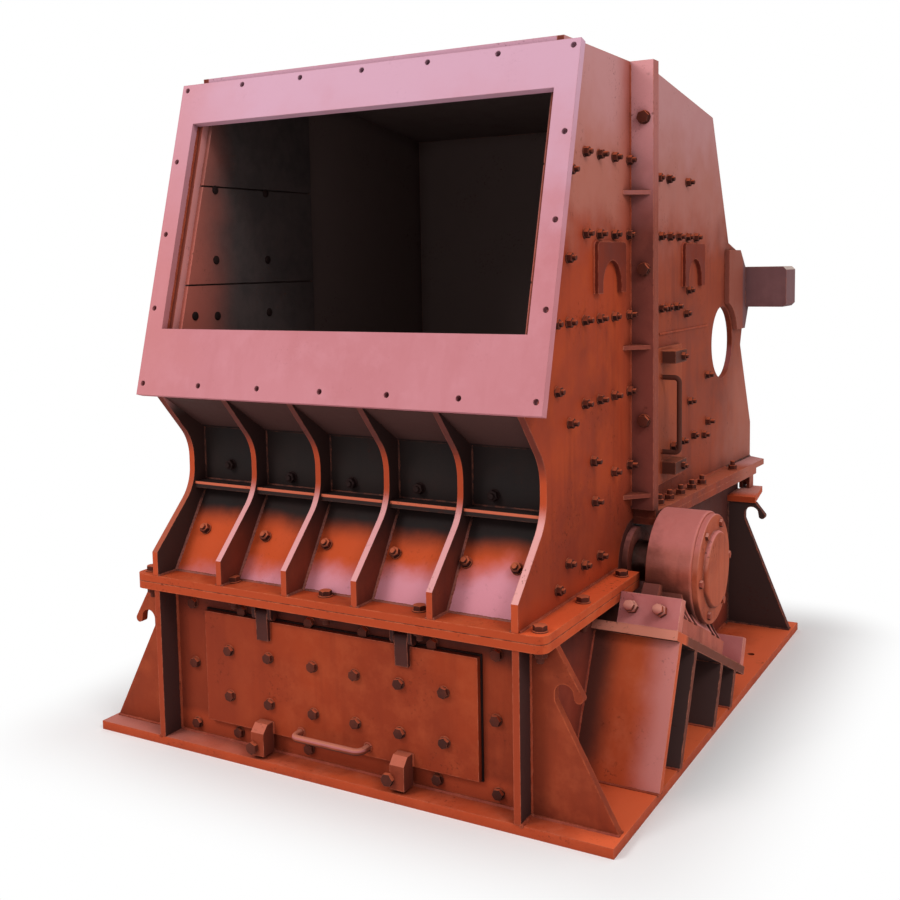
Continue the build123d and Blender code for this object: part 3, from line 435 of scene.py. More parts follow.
@dataclass(frozen=True)
class PaintFinish:
    """Red oxide paint, brushed over plate or casting."""

    name: str
    base: Colour = srgb(156, 59, 31)
    shade: Colour = srgb(110, 41, 26)
    pale: Colour = srgb(176, 82, 52)
    # colour of the painted sheen, the sky's reflection on faces that lean forward and up
    sheen: Colour = srgb(200, 122, 128)
    wear: Colour = srgb(196, 110, 84)
    rust: Colour = srgb(70, 32, 24)
    # colour of the painted shade in corners where faces meet, with its amount and reach below
    shade_in_corners: Colour = srgb(44, 22, 22)
    # inside: painted shade on the faces that look into the housing, chosen by inward
    inside: Colour = srgb(112, 94, 90)
    cloud_strength: float = 0.60
    sheen_amount: float = 0.55
    wear_amount: float = 0.70
    wear_radius: float = 0.006
    rust_amount: float = 0.60
    corner_shade_amount: float = 0.85
    corner_shade_reach: float = 0.10
    bump_depth: float = 0.0006
    edge_round: float = 0.0022
    specular: float = 0.10
    inward: Triple | None = None
    tints: tuple[Tint, ...] = ()

    def build(self, effects: Effects) -> bpy.types.Material:
        """Builds the material from the shared effects.

        Args:
            effects: The node groups.

        Returns:
            The material.
        """
        material = bpy.data.materials.new(self.name)
        material.use_nodes = True
        net = Net(material.node_tree)
        shader = material.node_tree.nodes["Principled BSDF"]
        film = self._group(net, effects.paint_film, Base=self.base, Shade=self.shade,
                           Pale=self.pale, Strength=self.cloud_strength)
        sheen = self._group(net, effects.sky_sheen, Amount=self.sheen_amount)
        wear = self._group(net, effects.edge_wear, Radius=self.wear_radius, Amount=self.wear_amount)
        rust = self._group(net, effects.rust_specks, Amount=self.rust_amount)
        shade_in_corners = self._group(net, effects.corner_shade, Reach=self.corner_shade_reach,
                            Amount=self.corner_shade_amount)
        # Painted sheen on faces that lean forward and up.
        colour = net.blend(sheen.outputs["Mask"], film.outputs["Color"], self.sheen)
        # Painted shade on the faces that look into the housing.
        if self.inward:
            mask = self._group(net, effects.inward, Direction=self.inward).outputs["Mask"]
            colour = net.blend(mask, colour, self.inside)
        for tint in self.tints:
            colour = net.blend(tint.mask(net, effects), colour, tint.colour)
        colour = net.blend(wear.outputs["Mask"], colour, self.wear)
        colour = net.blend(rust.outputs["Mask"], colour, self.rust)
        # Painted shade in the corners.
        colour = net.blend(shade_in_corners.outputs["Mask"], colour, self.shade_in_corners)
        rough = net.maths("MULTIPLY_ADD", rust.outputs["Mask"], 0.35, film.outputs["Rough"])
        rounded = net.add("ShaderNodeBevel", {"Radius": self.edge_round}, samples=4).outputs[0]
        height = net.maths("MULTIPLY_ADD", rust.outputs["Mask"], -0.6, film.outputs["Height"])
        settings = {"Height": height, "Distance": self.bump_depth, "Strength": 0.8,
                    "Normal": rounded}
        bump = net.add("ShaderNodeBump", settings).outputs[0]
        shader.inputs["Specular IOR Level"].default_value = self.specular
        for socket, value in (("Base Color", colour), ("Roughness", rough), ("Normal", bump)):
            net.put(shader.inputs[socket], value)
        return material

    @staticmethod
    def _group(net: Net, tree: bpy.types.NodeTree, **values: object) -> bpy.types.Node:
        """Places a node group in a material with its own values."""
        return net.add("ShaderNodeGroup", values, node_tree=tree)


@dataclass(frozen=True)
class SteelFinish:
    """Bare or scaled steel, smooth where it is turned and pitted where it is cast."""

    name: str
    base: Colour = srgb(70, 60, 56)
    shade: Colour = srgb(28, 22, 21)
    rust: Colour = srgb(92, 48, 30)
    metallic: float = 0.75
    rough_low: float = 0.38
    rough_high: float = 0.75
    rust_amount: float = 0.8
    pitting: float = 0.0012
    turned_lines: float = 0.0
    tints: tuple[Tint, ...] = ()

    def build(self, effects: Effects) -> bpy.types.Material:
        """Builds the material from the shared effects.

        Args:
            effects: The node groups.

        Returns:
            The material.
        """
        material = bpy.data.materials.new(self.name)
        material.use_nodes = True
        net = Net(material.node_tree)
        shader = material.node_tree.nodes["Principled BSDF"]
        where = net.add("ShaderNodeTexCoord").outputs["Object"]
        cloud = net.ramp(net.grain(where, 7.0, 5.0, 0.65), 0.32, 0.70)
        pits = net.grain(where, 160.0, 4.0, 0.65)
        rust = net.add("ShaderNodeGroup", {"Amount": self.rust_amount},
                       node_tree=effects.rust_specks)
        colour = net.blend(cloud, self.base, self.shade)
        for tint in self.tints:
            colour = net.blend(tint.mask(net, effects), colour, tint.colour)
        colour = net.blend(rust.outputs["Mask"], colour, self.rust)
        span = {"Value": cloud, "To Min": self.rough_low, "To Max": self.rough_high}
        rough = net.add("ShaderNodeMapRange", span).outputs[0]
        height = pits
        if self.turned_lines:
            lines = net.grain(net.stretch(where, (1.0, 0.01, 0.01)), 900.0, 1.0)
            height = net.maths("MULTIPLY_ADD", lines, self.turned_lines, pits)
        settings = {"Height": height, "Distance": self.pitting, "Strength": 0.7}
        bump = net.add("ShaderNodeBump", settings).outputs[0]
        metal = net.maths("MULTIPLY_ADD", rust.outputs["Mask"], -self.metallic, self.metallic,
                          clamp=True)
        for socket, value in (("Base Color", colour), ("Roughness", rough), ("Metallic", metal),
                              ("Normal", bump)):
            net.put(shader.inputs[socket], value)
        return material


FRONT, BACK = (0.0, -1.0, 0.0), (0.0, 1.0, 0.0)
RIGHT, LEFT = (1.0, 0.0, 0.0), (-1.0, 0.0, 0.0)
TOP, UNDER = (0.0, 0.0, 1.0), (0.0, 0.0, -1.0)
MOUTHWARD = (0.0, -0.9635, 0.2677)
ALONG_SEAT, OFF_SEAT = (0.0, 0.9063, -0.4226), (0.0, -0.9063, 0.4226)
SLOPE_NOSE = (0.0, -0.75, 0.66)
EVERYWHERE = (TOP, -9.0, -8.0)


class Paintshop:
    """Every finish of the machine, and which CAD node takes which."""

    def __init__(self) -> None:
        """Builds the materials."""
        self.effects = Effects()
        self.by_node: dict[str, bpy.types.Material] = {}
        self.plate = PaintFinish("plate_paint").build(self.effects)
        # Bolts: painted highlight on the tops, painted shade underneath.
        self.bolts = PaintFinish(
            "bolt_paint", base=srgb(88, 40, 30), shade=srgb(52, 27, 23), pale=srgb(116, 54, 39),
            wear_radius=0.002, edge_round=0.0008, wear_amount=0.6, sheen_amount=0.0,
            rust_amount=0.9, corner_shade_reach=0.03,
            tints=(Tint(srgb(196, 96, 64), *EVERYWHERE, 0.85, facing=TOP, turn=0.45),
                   Tint(srgb(44, 26, 25), *EVERYWHERE, 0.9, facing=UNDER, turn=0.25)),
        ).build(self.effects)
        # Bearing bolts: painted highlight on the tops, painted shade underneath.
        self.bearing_bolts = PaintFinish(
            "bearing_bolt_paint", base=srgb(156, 70, 48), shade=srgb(104, 46, 35),
            pale=srgb(184, 104, 82), wear_radius=0.002, edge_round=0.0008, sheen_amount=0.3,
            corner_shade_reach=0.03,
            tints=(Tint(srgb(226, 154, 136), *EVERYWHERE, 0.85, facing=TOP, turn=0.35),
                   Tint(srgb(66, 36, 31), *EVERYWHERE, 0.85, facing=UNDER, turn=0.25)),
        ).build(self.effects)
        # Welds: painted shade, near black, on the beads of the rear hooks behind y 0.93.
        self.beads = PaintFinish(
            "weld_paint", base=srgb(154, 62, 36), bump_depth=0.0012, edge_round=0.001,
            rust_amount=0.8, sheen_amount=0.1, corner_shade_reach=0.03,
            tints=(Tint(srgb(54, 38, 36), BACK, 0.92, 0.94, 0.95, 0.0),),
        ).build(self.effects)
        # Recess welds in painted shade: dull brown with a little painted sheen, near black above z
        # 0.8 under the hood.
        self.shaded_beads = PaintFinish(
            "shaded_weld_paint", base=srgb(120, 66, 54), bump_depth=0.0012, edge_round=0.001,
            rust_amount=0.8, sheen_amount=0.2, sheen=srgb(206, 150, 146), corner_shade_reach=0.03,
            tints=(Tint(srgb(44, 33, 32), TOP, 0.76, 0.84, 1.0, 0.02),),
        ).build(self.effects)
        # Near black painted shade for what sits in deep shade: the gap round the door, the nuts on
        # the recess wall and the plugs inside the mouth.
        self.shade_black = PaintFinish(
            "shade_black_paint", base=srgb(40, 28, 27), shade=srgb(28, 20, 20), pale=srgb(56, 38, 34),
            sheen_amount=0.0, wear_amount=0.0, specular=0.05,
        ).build(self.effects)
        # Liners: painted shade, dark grey-brown inside the mouth, turning redder towards the front.
        self.liner = SteelFinish(
            "liner_steel_finish", base=srgb(80, 67, 65), shade=srgb(64, 54, 53), metallic=0.0,
            rough_low=0.7, rough_high=0.9,
            tints=(Tint(srgb(178, 94, 80), FRONT, 0.63, 0.92, ragged=0.12),),
        ).build(self.effects)
        self._front()
        self._sides()
        self._base()
        self._working_parts()

    def _assign(self, finish: PaintFinish | SteelFinish, *names: str) -> None:
        """Builds a finish and books it for nodes.

        Args:
            finish: The finish.
            names: The nodes that take it.
        """
        material = finish.build(self.effects)
        for name in names:
            self.by_node[name] = material

    def _front(self) -> None:
        """Finishes of the mouth frame, the recess, the front wall and the door."""
        # Mouth frame: its mauve, paler higher up, is painted sheen from the sky's reflection;
        # slightly pinker to the left.
        self._assign(PaintFinish(
            "mouth_paint", base=srgb(196, 126, 133), shade=srgb(182, 108, 112),
            pale=srgb(204, 138, 146), cloud_strength=0.35, sheen_amount=0.0,
            wear=srgb(190, 128, 128), wear_amount=0.35, rust_amount=0.12,
            corner_shade_amount=0.5, corner_shade_reach=0.03,
            tints=(Tint(srgb(204, 158, 177), TOP, 1.56, 2.20, 0.95, ragged=0.5),
                   Tint(srgb(196, 122, 122), LEFT, 0.40, 0.78, 0.5, ragged=0.4)),
        ), "mouth_frame")
        # Recess: painted shade, near black, under the hood, a little lighter above z 1.06; the
        # slope takes its orange below z 0.73 to 0.8, out of the painted shade, and painted sheen
        # pink low down.
        self._assign(PaintFinish(
            "recess_paint", base=srgb(38, 30, 28), shade=srgb(30, 25, 25), pale=srgb(52, 38, 36),
            sheen_amount=0.0, wear_amount=0.2, rust_amount=0.3, corner_shade_reach=0.16, corner_shade_amount=0.5,
            tints=(Tint(srgb(86, 56, 52), TOP, 1.058, 1.064, 0.75, 0.01),
                   Tint(srgb(200, 80, 40), UNDER, -0.800, -0.725, 1.0, 0.05),
                   Tint(srgb(220, 146, 160), (0.11, 0.0, -1.0), -0.700, -0.600, 0.95, 0.14)),
        ), "recess_wall")
        # Ribs: painted shade on the dark sides, near black under the hood above z 0.64 to 0.86;
        # orange front edges, browner in painted shade above z 1.0; painted sheen pink on the noses
        # low down.
        self._assign(PaintFinish(
            "rib_paint", base=srgb(120, 50, 34), shade=srgb(88, 40, 32), pale=srgb(136, 60, 42),
            sheen_amount=0.0, wear_amount=0.3, rust_amount=0.4, corner_shade_amount=0.6,
            tints=(Tint(srgb(42, 32, 31), TOP, 0.64, 0.86, 0.92, 0.1),
                   Tint(srgb(172, 68, 38), *EVERYWHERE, 1.0, facing=FRONT, turn=0.30),
                   Tint(srgb(92, 52, 48), TOP, 0.98, 1.08, 0.95, 0.05, FRONT, 0.30),
                   Tint(srgb(224, 158, 158), UNDER, -0.93, -0.84, 1.0, 0.05, SLOPE_NOSE, 0.90)),
        ), "recess_ribs")
        ledge_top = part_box("recess_ledge")[1][2]
        # Ledge: painted shade, near black, with a painted highlight along its front top edge.
        self._assign(PaintFinish(
            "ledge_paint", base=srgb(48, 34, 32), shade=srgb(40, 30, 29), pale=srgb(58, 40, 37),
            sheen_amount=0.0, corner_shade_amount=0.3, wear_amount=0.2,
            tints=(Tint(srgb(204, 104, 76), TOP, ledge_top - 0.010, ledge_top - 0.008, 1.0, 0.002,
                        FRONT, 0.6),),
        ), "recess_ledge")
        # Front wall: painted shadow under the flange above z 0.42 to 0.52; darker towards the left
        # and lighter near the foot.
        self._assign(PaintFinish(
            "front_wall_paint", base=srgb(154, 60, 32), shade=srgb(116, 44, 27),
            pale=srgb(170, 76, 47), cloud_strength=0.6, sheen_amount=0.0,
            tints=(Tint(srgb(52, 32, 30), TOP, 0.42, 0.52, 0.9, 0.06),
                   Tint(srgb(122, 47, 31), LEFT, 0.30, 0.62, 0.6),
                   Tint(srgb(176, 72, 42), UNDER, -0.120, -0.080, 0.8, 0.04)),
        ), "base_front_wall")
        # Door: painted shadow under the flange along its top; darker towards the left and darkest
        # on what stands furthest forward.
        self._assign(PaintFinish(
            "door_paint", base=srgb(160, 61, 30), shade=srgb(128, 47, 27), pale=srgb(178, 82, 50),
            cloud_strength=0.6, sheen_amount=0.1,
            tints=(Tint(srgb(132, 50, 31), LEFT, 0.10, 0.50, 0.6),
                   Tint(srgb(60, 34, 32), TOP, 0.455, 0.50, 0.9, 0.02),
                   Tint(srgb(62, 37, 35), FRONT, 1.0335, 1.0345, 0.9, 0.0)),
        ), "access_door", "door_hinge_ears")
        # Clamps: painted highlight on the tops, painted shade on faces turned right.
        self._assign(PaintFinish(
            "clamp_paint", base=srgb(146, 60, 36), shade=srgb(104, 42, 29), pale=srgb(168, 80, 54),
            sheen_amount=0.4,
            tints=(Tint(srgb(196, 104, 76), *EVERYWHERE, 0.8, facing=TOP, turn=0.6),
                   Tint(srgb(84, 40, 31), *EVERYWHERE, 0.7, facing=RIGHT, turn=0.6)),
        ), "door_clamps")
        # Handle: painted highlight on the top, painted shade underneath.
        self._assign(PaintFinish(
            "handle_paint", base=srgb(156, 70, 46), shade=srgb(96, 46, 36), pale=srgb(172, 92, 68),
            wear=srgb(190, 112, 88), wear_amount=0.4, edge_round=0.0005,
            tints=(Tint(srgb(200, 124, 100), *EVERYWHERE, 0.7, facing=TOP, turn=0.60),
                   Tint(srgb(70, 38, 32), *EVERYWHERE, 0.8, facing=UNDER, turn=0.3)),
        ), "door_handle")

    def _sides(self) -> None:
        """Finishes of both housings' side plates, flanges, tops and beam."""
        # Painted sheen on the slope's nose: pale pink on the right side, plain orange on the left.
        nose_light_by_side = {1.0: srgb(230, 162, 158), -1.0: srgb(168, 84, 62)}
        for name, s in (("right", 1.0), ("left", -1.0)):
            out, inward = (s, 0.0, 0.0), (-s, 0.0, 0.0)
            # Side plates: painted sheen, pink, high on the outer faces; painted shade on the inner
            # faces, near black below z 1.1 in the recess, pink at the mouth's edge; orange front
            # faces with painted shade above z 1.0; darker, then orange, low down; more orange
            # towards the split.
            self._assign(PaintFinish(
                f"front_{name}_paint", base=srgb(162, 61, 30), shade=srgb(122, 45, 27),
                pale=srgb(178, 78, 44), cloud_strength=0.75, sheen_amount=0.0, corner_shade_amount=0.55,
                inward=inward,
                tints=(Tint(srgb(174, 106, 92), TOP, 1.60, 1.84, 0.9, 0.30, out, 0.7),
                       Tint(srgb(190, 134, 134), TOP, 1.84, 2.22, 0.9, 0.30, out, 0.7),
                       Tint(srgb(158, 68, 46), BACK, -0.35, -0.20, 0.8, 0.14, out, 0.7),
                       Tint(srgb(128, 48, 30), UNDER, -0.92, -0.74, 0.45, facing=out, turn=0.8),
                       Tint(srgb(170, 62, 30), UNDER, -0.68, -0.60, 0.8, 0.1, out, 0.8),
                       Tint(srgb(216, 142, 138), MOUTHWARD, 1.24, 1.32, 1.0, 0.03, inward, 0.7),
                       Tint(srgb(60, 36, 32), UNDER, -1.16, -1.10, 0.95, 0.02, inward, 0.7),
                       Tint(srgb(186, 74, 40), *EVERYWHERE, 0.9, facing=FRONT, turn=0.8),
                       Tint(srgb(104, 50, 42), TOP, 0.96, 1.04, 0.9, 0.04, FRONT, 0.5),
                       Tint(nose_light_by_side[s], UNDER, -0.93, -0.84, 1.0, 0.04, SLOPE_NOSE, 0.9)),
            ), f"front_side_plate_{name}")
            # Rear side plates: painted sheen, pink, high on the outer faces, a painted highlight
            # sloping back towards the beam, and painted shade inside.
            self._assign(PaintFinish(
                f"rear_{name}_paint", base=srgb(146, 62, 38), shade=srgb(114, 48, 34),
                pale=srgb(166, 82, 58), cloud_strength=0.75, sheen_amount=0.3, inward=inward,
                tints=(Tint(srgb(172, 108, 98), TOP, 1.56, 1.86, 0.9, 0.30, out, 0.7),
                       Tint(srgb(184, 130, 130), TOP, 1.86, 2.16, 0.9, 0.30, out, 0.7),
                       Tint(srgb(178, 108, 92), (0.0, 1.0, -0.55), 0.15, 0.75, 0.7, 0.4, out, 0.7)),
            ), f"rear_side_plate_{name}")
        # Top plates: painted sheen, the mouth frame's mauve, on the front faces; painted shade on
        # the underside.
        for name in ("front_top_plate", "rear_top_plate"):
            self._assign(PaintFinish(
                f"{name}_paint", base=srgb(170, 92, 80), shade=srgb(148, 70, 56), inward=UNDER,
                tints=(Tint(srgb(208, 160, 178), *EVERYWHERE, 0.95, facing=FRONT, turn=0.7),),
            ), name)
        # Painted shade on the bulkhead's front faces, inside the housing.
        self._assign(PaintFinish("bulkhead_paint", inward=FRONT), "rear_bulkhead")
        # Split flanges: painted sheen, pink, high up, and a painted highlight on the tops of the
        # tabs; more orange on faces turned right.
        self._assign(PaintFinish(
            "split_paint", base=srgb(134, 68, 58), shade=srgb(98, 52, 46), pale=srgb(154, 82, 70),
            sheen_amount=0.0, corner_shade_reach=0.14,
            tints=(Tint(srgb(222, 156, 158), TOP, 1.66, 2.06, 0.95, 0.2),
                   Tint(srgb(136, 62, 44), *EVERYWHERE, 0.7, facing=RIGHT, turn=0.7),
                   Tint(srgb(190, 96, 72), *EVERYWHERE, 0.8, facing=TOP, turn=0.8)),
        ), "front_split_flange", "rear_split_flange")
        self._assign(PaintFinish(
            "pad_paint", base=srgb(114, 42, 27), shade=srgb(88, 35, 26), pale=srgb(132, 54, 35),
            sheen_amount=0.0, wear=srgb(196, 104, 76), wear_amount=0.8,
        ), "front_arch_pads", "rear_arch_pads")
        block_shade, lit = srgb(66, 40, 35), srgb(196, 104, 72)
        # Hatch: painted shade on the clamp blocks that stand out past x 0.695, painted highlight on
        # their tops.
        self._assign(PaintFinish(
            "hatch_paint", base=srgb(158, 72, 44), shade=srgb(124, 54, 36), pale=srgb(176, 92, 62),
            sheen_amount=0.0,
            tints=(Tint(block_shade, RIGHT, 0.693, 0.697, 0.85, 0.0),
                   Tint(block_shade, LEFT, 0.693, 0.697, 0.85, 0.0),
                   Tint(lit, TOP, 1.26, 1.27, 0.9, 0.0, TOP, 0.6),
                   Tint(lit, UNDER, -0.90, -0.86, 0.9, 0.0, TOP, 0.6)),
        ), "side_hatches")
        # Beam: painted highlight on its top faces; the ears in front of y 1.11 take the plate's
        # orange.
        self._assign(PaintFinish(
            "beam_paint", base=srgb(126, 88, 90), shade=srgb(106, 70, 70), pale=srgb(140, 98, 98),
            sheen_amount=0.0,
            tints=(Tint(srgb(150, 80, 64), FRONT, -1.13, -1.10, 0.9, 0.02),
                   Tint(srgb(204, 182, 172), *EVERYWHERE, 0.95, facing=TOP, turn=0.6)),
        ), "rear_cross_beam")
        # Sloping joint: painted highlight on the tops, painted sheen pink on the tops behind y
        # 0.94, paler on faces turned right towards the back.
        self._assign(PaintFinish(
            "slope_flange_paint", base=srgb(140, 58, 38), shade=srgb(92, 44, 35), sheen_amount=0.0,
            tints=(Tint(srgb(192, 100, 72), *EVERYWHERE, 0.8, facing=TOP, turn=0.6),
                   Tint(srgb(212, 150, 146), BACK, 0.94, 1.12, 0.9, 0.1, TOP, 0.6),
                   Tint(srgb(180, 104, 86), BACK, 0.70, 1.00, 0.8, 0.1, RIGHT, 0.6)),
        ), "rear_housing_flange", "riser_flange", "rear_hinge_lugs", "rear_hinge_brackets")

    def _base(self) -> None:
        """Finishes of the base plate, its walls, hooks, flanges and pedestals."""
        # Base plate: painted sheen pink on the tops towards the front left; painted light, a
        # brighter orange, on the right edge's tops, which lie in the key lamp's shadow; orange
        # front faces.
        self._assign(PaintFinish(
            "base_plate_paint", base=srgb(206, 88, 50), shade=srgb(174, 70, 41),
            pale=srgb(214, 114, 84), sheen_amount=0.0, cloud_strength=0.7,
            tints=(Tint(srgb(190, 122, 112), (-0.72, -0.30, 0.0), 0.30, 1.00, 0.75, 0.4, TOP, 0.6),
                   Tint(srgb(236, 106, 64), RIGHT, 0.76, 0.88, 0.9, 0.1, TOP, 0.6),
                   Tint(srgb(190, 74, 38), *EVERYWHERE, 0.7, facing=FRONT, turn=0.7)),
        ), "base_plate")
        # Base walls: painted shadow under the flange above z 0.3 to 0.5, painted shade on the wings
        # in front of the hooks; orange front faces.
        self._assign(PaintFinish(
            "base_side_paint", base=srgb(140, 60, 44), shade=srgb(104, 47, 38),
            pale=srgb(158, 74, 54), sheen_amount=0.0,
            tints=(Tint(srgb(66, 39, 36), TOP, 0.30, 0.50, 0.8, 0.2),
                   Tint(srgb(104, 50, 40), FRONT, 1.02, 1.05, 0.9, 0.02, RIGHT, 0.6),
                   Tint(srgb(60, 39, 37), FRONT, 0.98, 1.02, 0.9, 0.02, RIGHT, 0.6),
                   Tint(srgb(156, 61, 34), *EVERYWHERE, 0.9, facing=FRONT, turn=0.7)),
        ), "base_side_wall_right", "base_side_wall_left", "base_rear_wall")
        # Hooks: painted shade, near black, on the rear hook plates behind y 0.2 to 0.4.
        self._assign(PaintFinish(
            "hook_paint", base=srgb(150, 60, 34), shade=srgb(118, 47, 30), sheen_amount=0.0,
            wear_amount=1.0, wear=srgb(200, 98, 62),
            tints=(Tint(srgb(60, 46, 44), BACK, 0.2, 0.4, 0.97, 0.1, FRONT, 0.5),
                   Tint(srgb(70, 50, 47), BACK, 0.2, 0.4, 0.8, 0.1, RIGHT, 0.3)),
        ), "lifting_hooks")
        deck = {"base": srgb(196, 80, 42), "shade": srgb(166, 64, 36), "pale": srgb(204, 102, 64),
                "sheen_amount": 0.0, "wear": srgb(214, 116, 80), "corner_shade_reach": 0.05}
        # Flanges: painted light on the tops of the right flank, painted sheen pink on the tops of
        # the rear cap plates; orange front faces and a dark seam line.
        lip = Tint(srgb(172, 66, 34), *EVERYWHERE, 0.9, facing=FRONT, turn=0.7)
        lit_flank = Tint(srgb(236, 98, 54), RIGHT, 0.66, 0.70, 0.9, 0.04, TOP, 0.7)
        cap_sheen = Tint(srgb(220, 146, 134), BACK, 0.96, 1.10, 0.9, 0.1, TOP, 0.7)
        seam = Tint(srgb(70, 36, 28), UNDER, -0.5635, -0.5615, 0.95, 0.0)
        self._assign(PaintFinish("base_flange_paint", tints=(lip, lit_flank, cap_sheen), **deck),
                     "base_flange")
        self._assign(PaintFinish("deck_paint", tints=(lip, lit_flank, seam), **deck),
                     "front_housing_flange")
        for name, s in (("right", 1.0), ("left", -1.0)):
            out, inward = (s, 0.0, 0.0), (-s, 0.0, 0.0)
            # Pedestals: painted shade inside and painted sheen mauve outside on the front rib; ribs
            # and seat sides behind in painted shade; painted highlight on the seat's front edge;
            # painted shade on faces turned down.
            self._assign(PaintFinish(
                f"pedestal_{name}_paint", base=srgb(204, 90, 52), shade=srgb(172, 70, 42),
                pale=srgb(214, 112, 80), sheen_amount=0.0, wear=srgb(216, 130, 104),
                wear_amount=0.9,
                tints=(Tint(srgb(76, 44, 39), inward, -0.79, -0.70, 0.92, 0.06, FRONT, 0.5),
                       Tint(srgb(220, 140, 134), out, 0.83, 0.94, 0.9, 0.08, FRONT, 0.5),
                       Tint(srgb(62, 46, 44), ALONG_SEAT, -0.63, -0.58, 0.97, 0.0, FRONT, 0.3),
                       Tint(srgb(86, 50, 41), ALONG_SEAT, -0.63, -0.58, 0.85, 0.0, out, 0.6),
                       Tint(srgb(222, 142, 120), OFF_SEAT, 0.684, 0.692, 0.9, 0.0, FRONT, 0.5),
                       Tint(srgb(58, 38, 36), *EVERYWHERE, 0.9, facing=UNDER, turn=0.3)),
            ), f"pedestal_{name}")
        self._assign(PaintFinish(
            "stop_paint", base=srgb(206, 118, 104), shade=srgb(170, 84, 66),
            pale=srgb(218, 148, 138), wear=srgb(228, 160, 142), wear_amount=1.0,
        ), "stop_blocks")

    def _working_parts(self) -> None:
        """Finishes of the bearings and everything that turns or wears."""
        # Bearings: painted sheen on faces turned up, painted shade on faces turned down, and a dark
        # blotch low on the front left.
        barrel_sheen = Tint(srgb(216, 130, 124), *EVERYWHERE, 0.85, facing=TOP, turn=0.50)
        self._assign(PaintFinish(
            "casting_paint", base=srgb(186, 94, 76), shade=srgb(128, 62, 50),
            pale=srgb(204, 122, 102), cloud_strength=0.85, bump_depth=0.0035, edge_round=0.004,
            sheen_amount=0.5, sheen=srgb(212, 134, 124),
            tints=(barrel_sheen,
                   Tint(srgb(74, 42, 37), *EVERYWHERE, 0.7, facing=(0.0, -0.3, -0.95), turn=0.5),
                   Tint(srgb(96, 52, 42), (-0.6, 0.0, -0.8), -1.04, -0.92, 0.8, 0.40, FRONT, 0.2)),
        ), "bearing_housing_right", "bearing_housing_left", "shaft_seals")
        # Covers: painted sheen on faces turned up, painted shade on faces turned down.
        self._assign(PaintFinish(
            "cover_paint", base=srgb(178, 84, 56), shade=srgb(134, 60, 42), pale=srgb(196, 112, 86),
            cloud_strength=0.85, bump_depth=0.0030, edge_round=0.004, sheen_amount=0.4,
            sheen=srgb(216, 140, 124), wear=srgb(214, 144, 122), wear_amount=0.9,
            tints=(barrel_sheen, Tint(srgb(96, 50, 40), *EVERYWHERE, 0.7, facing=UNDER, turn=0.4)),
        ), "bearing_cover_right", "bearing_cover_left")
        self._assign(SteelFinish("wear_steel_finish"), "rotor_discs", "hammers", "hammer_pins",
                     "discharge_grate")
        self._assign(SteelFinish(
            "turned_steel_finish", base=srgb(122, 104, 98), shade=srgb(84, 62, 56), metallic=1.0,
            rough_low=0.26, rough_high=0.48, rust_amount=0.6, pitting=0.0003, turned_lines=1.0,
        ), "rotor_shaft")
        for name in ("side_liners", "feed_plate", "breaker_plate"):
            self.by_node[name] = self.liner

    def dress(self, nodes: dict[str, bpy.types.Object]) -> None:
        """Gives every CAD node its finish.

        Args:
            nodes: The nodes by name.
        """
        for name, node in nodes.items():
            material = self.by_node.get(name, self.plate)
            for index in range(max(1, len(node.material_slots))):
                if index < len(node.material_slots):
                    node.material_slots[index].material = material
                else:
                    node.data.materials.append(material)
        LOG.info("finished %d nodes, %d of them by name", len(nodes), len(self.by_node))


# Meshes


def facing(point: Sequence[float], normal: Sequence[float], spin: float = 0.0) -> Matrix:
    """Works out the placement of a fastener on a face.

    Args:
        point: The point on the face.
        normal: The way the face looks.
        spin: The turn about that way, in radians.

    Returns:
        The placement whose Z axis stands on the face.
    """
    turn = Vector(normal).to_track_quat("Z", "Y").to_matrix().to_4x4()
    return Matrix.Translation(Vector(point)) @ turn @ Matrix.Rotation(spin, 4, "Z")


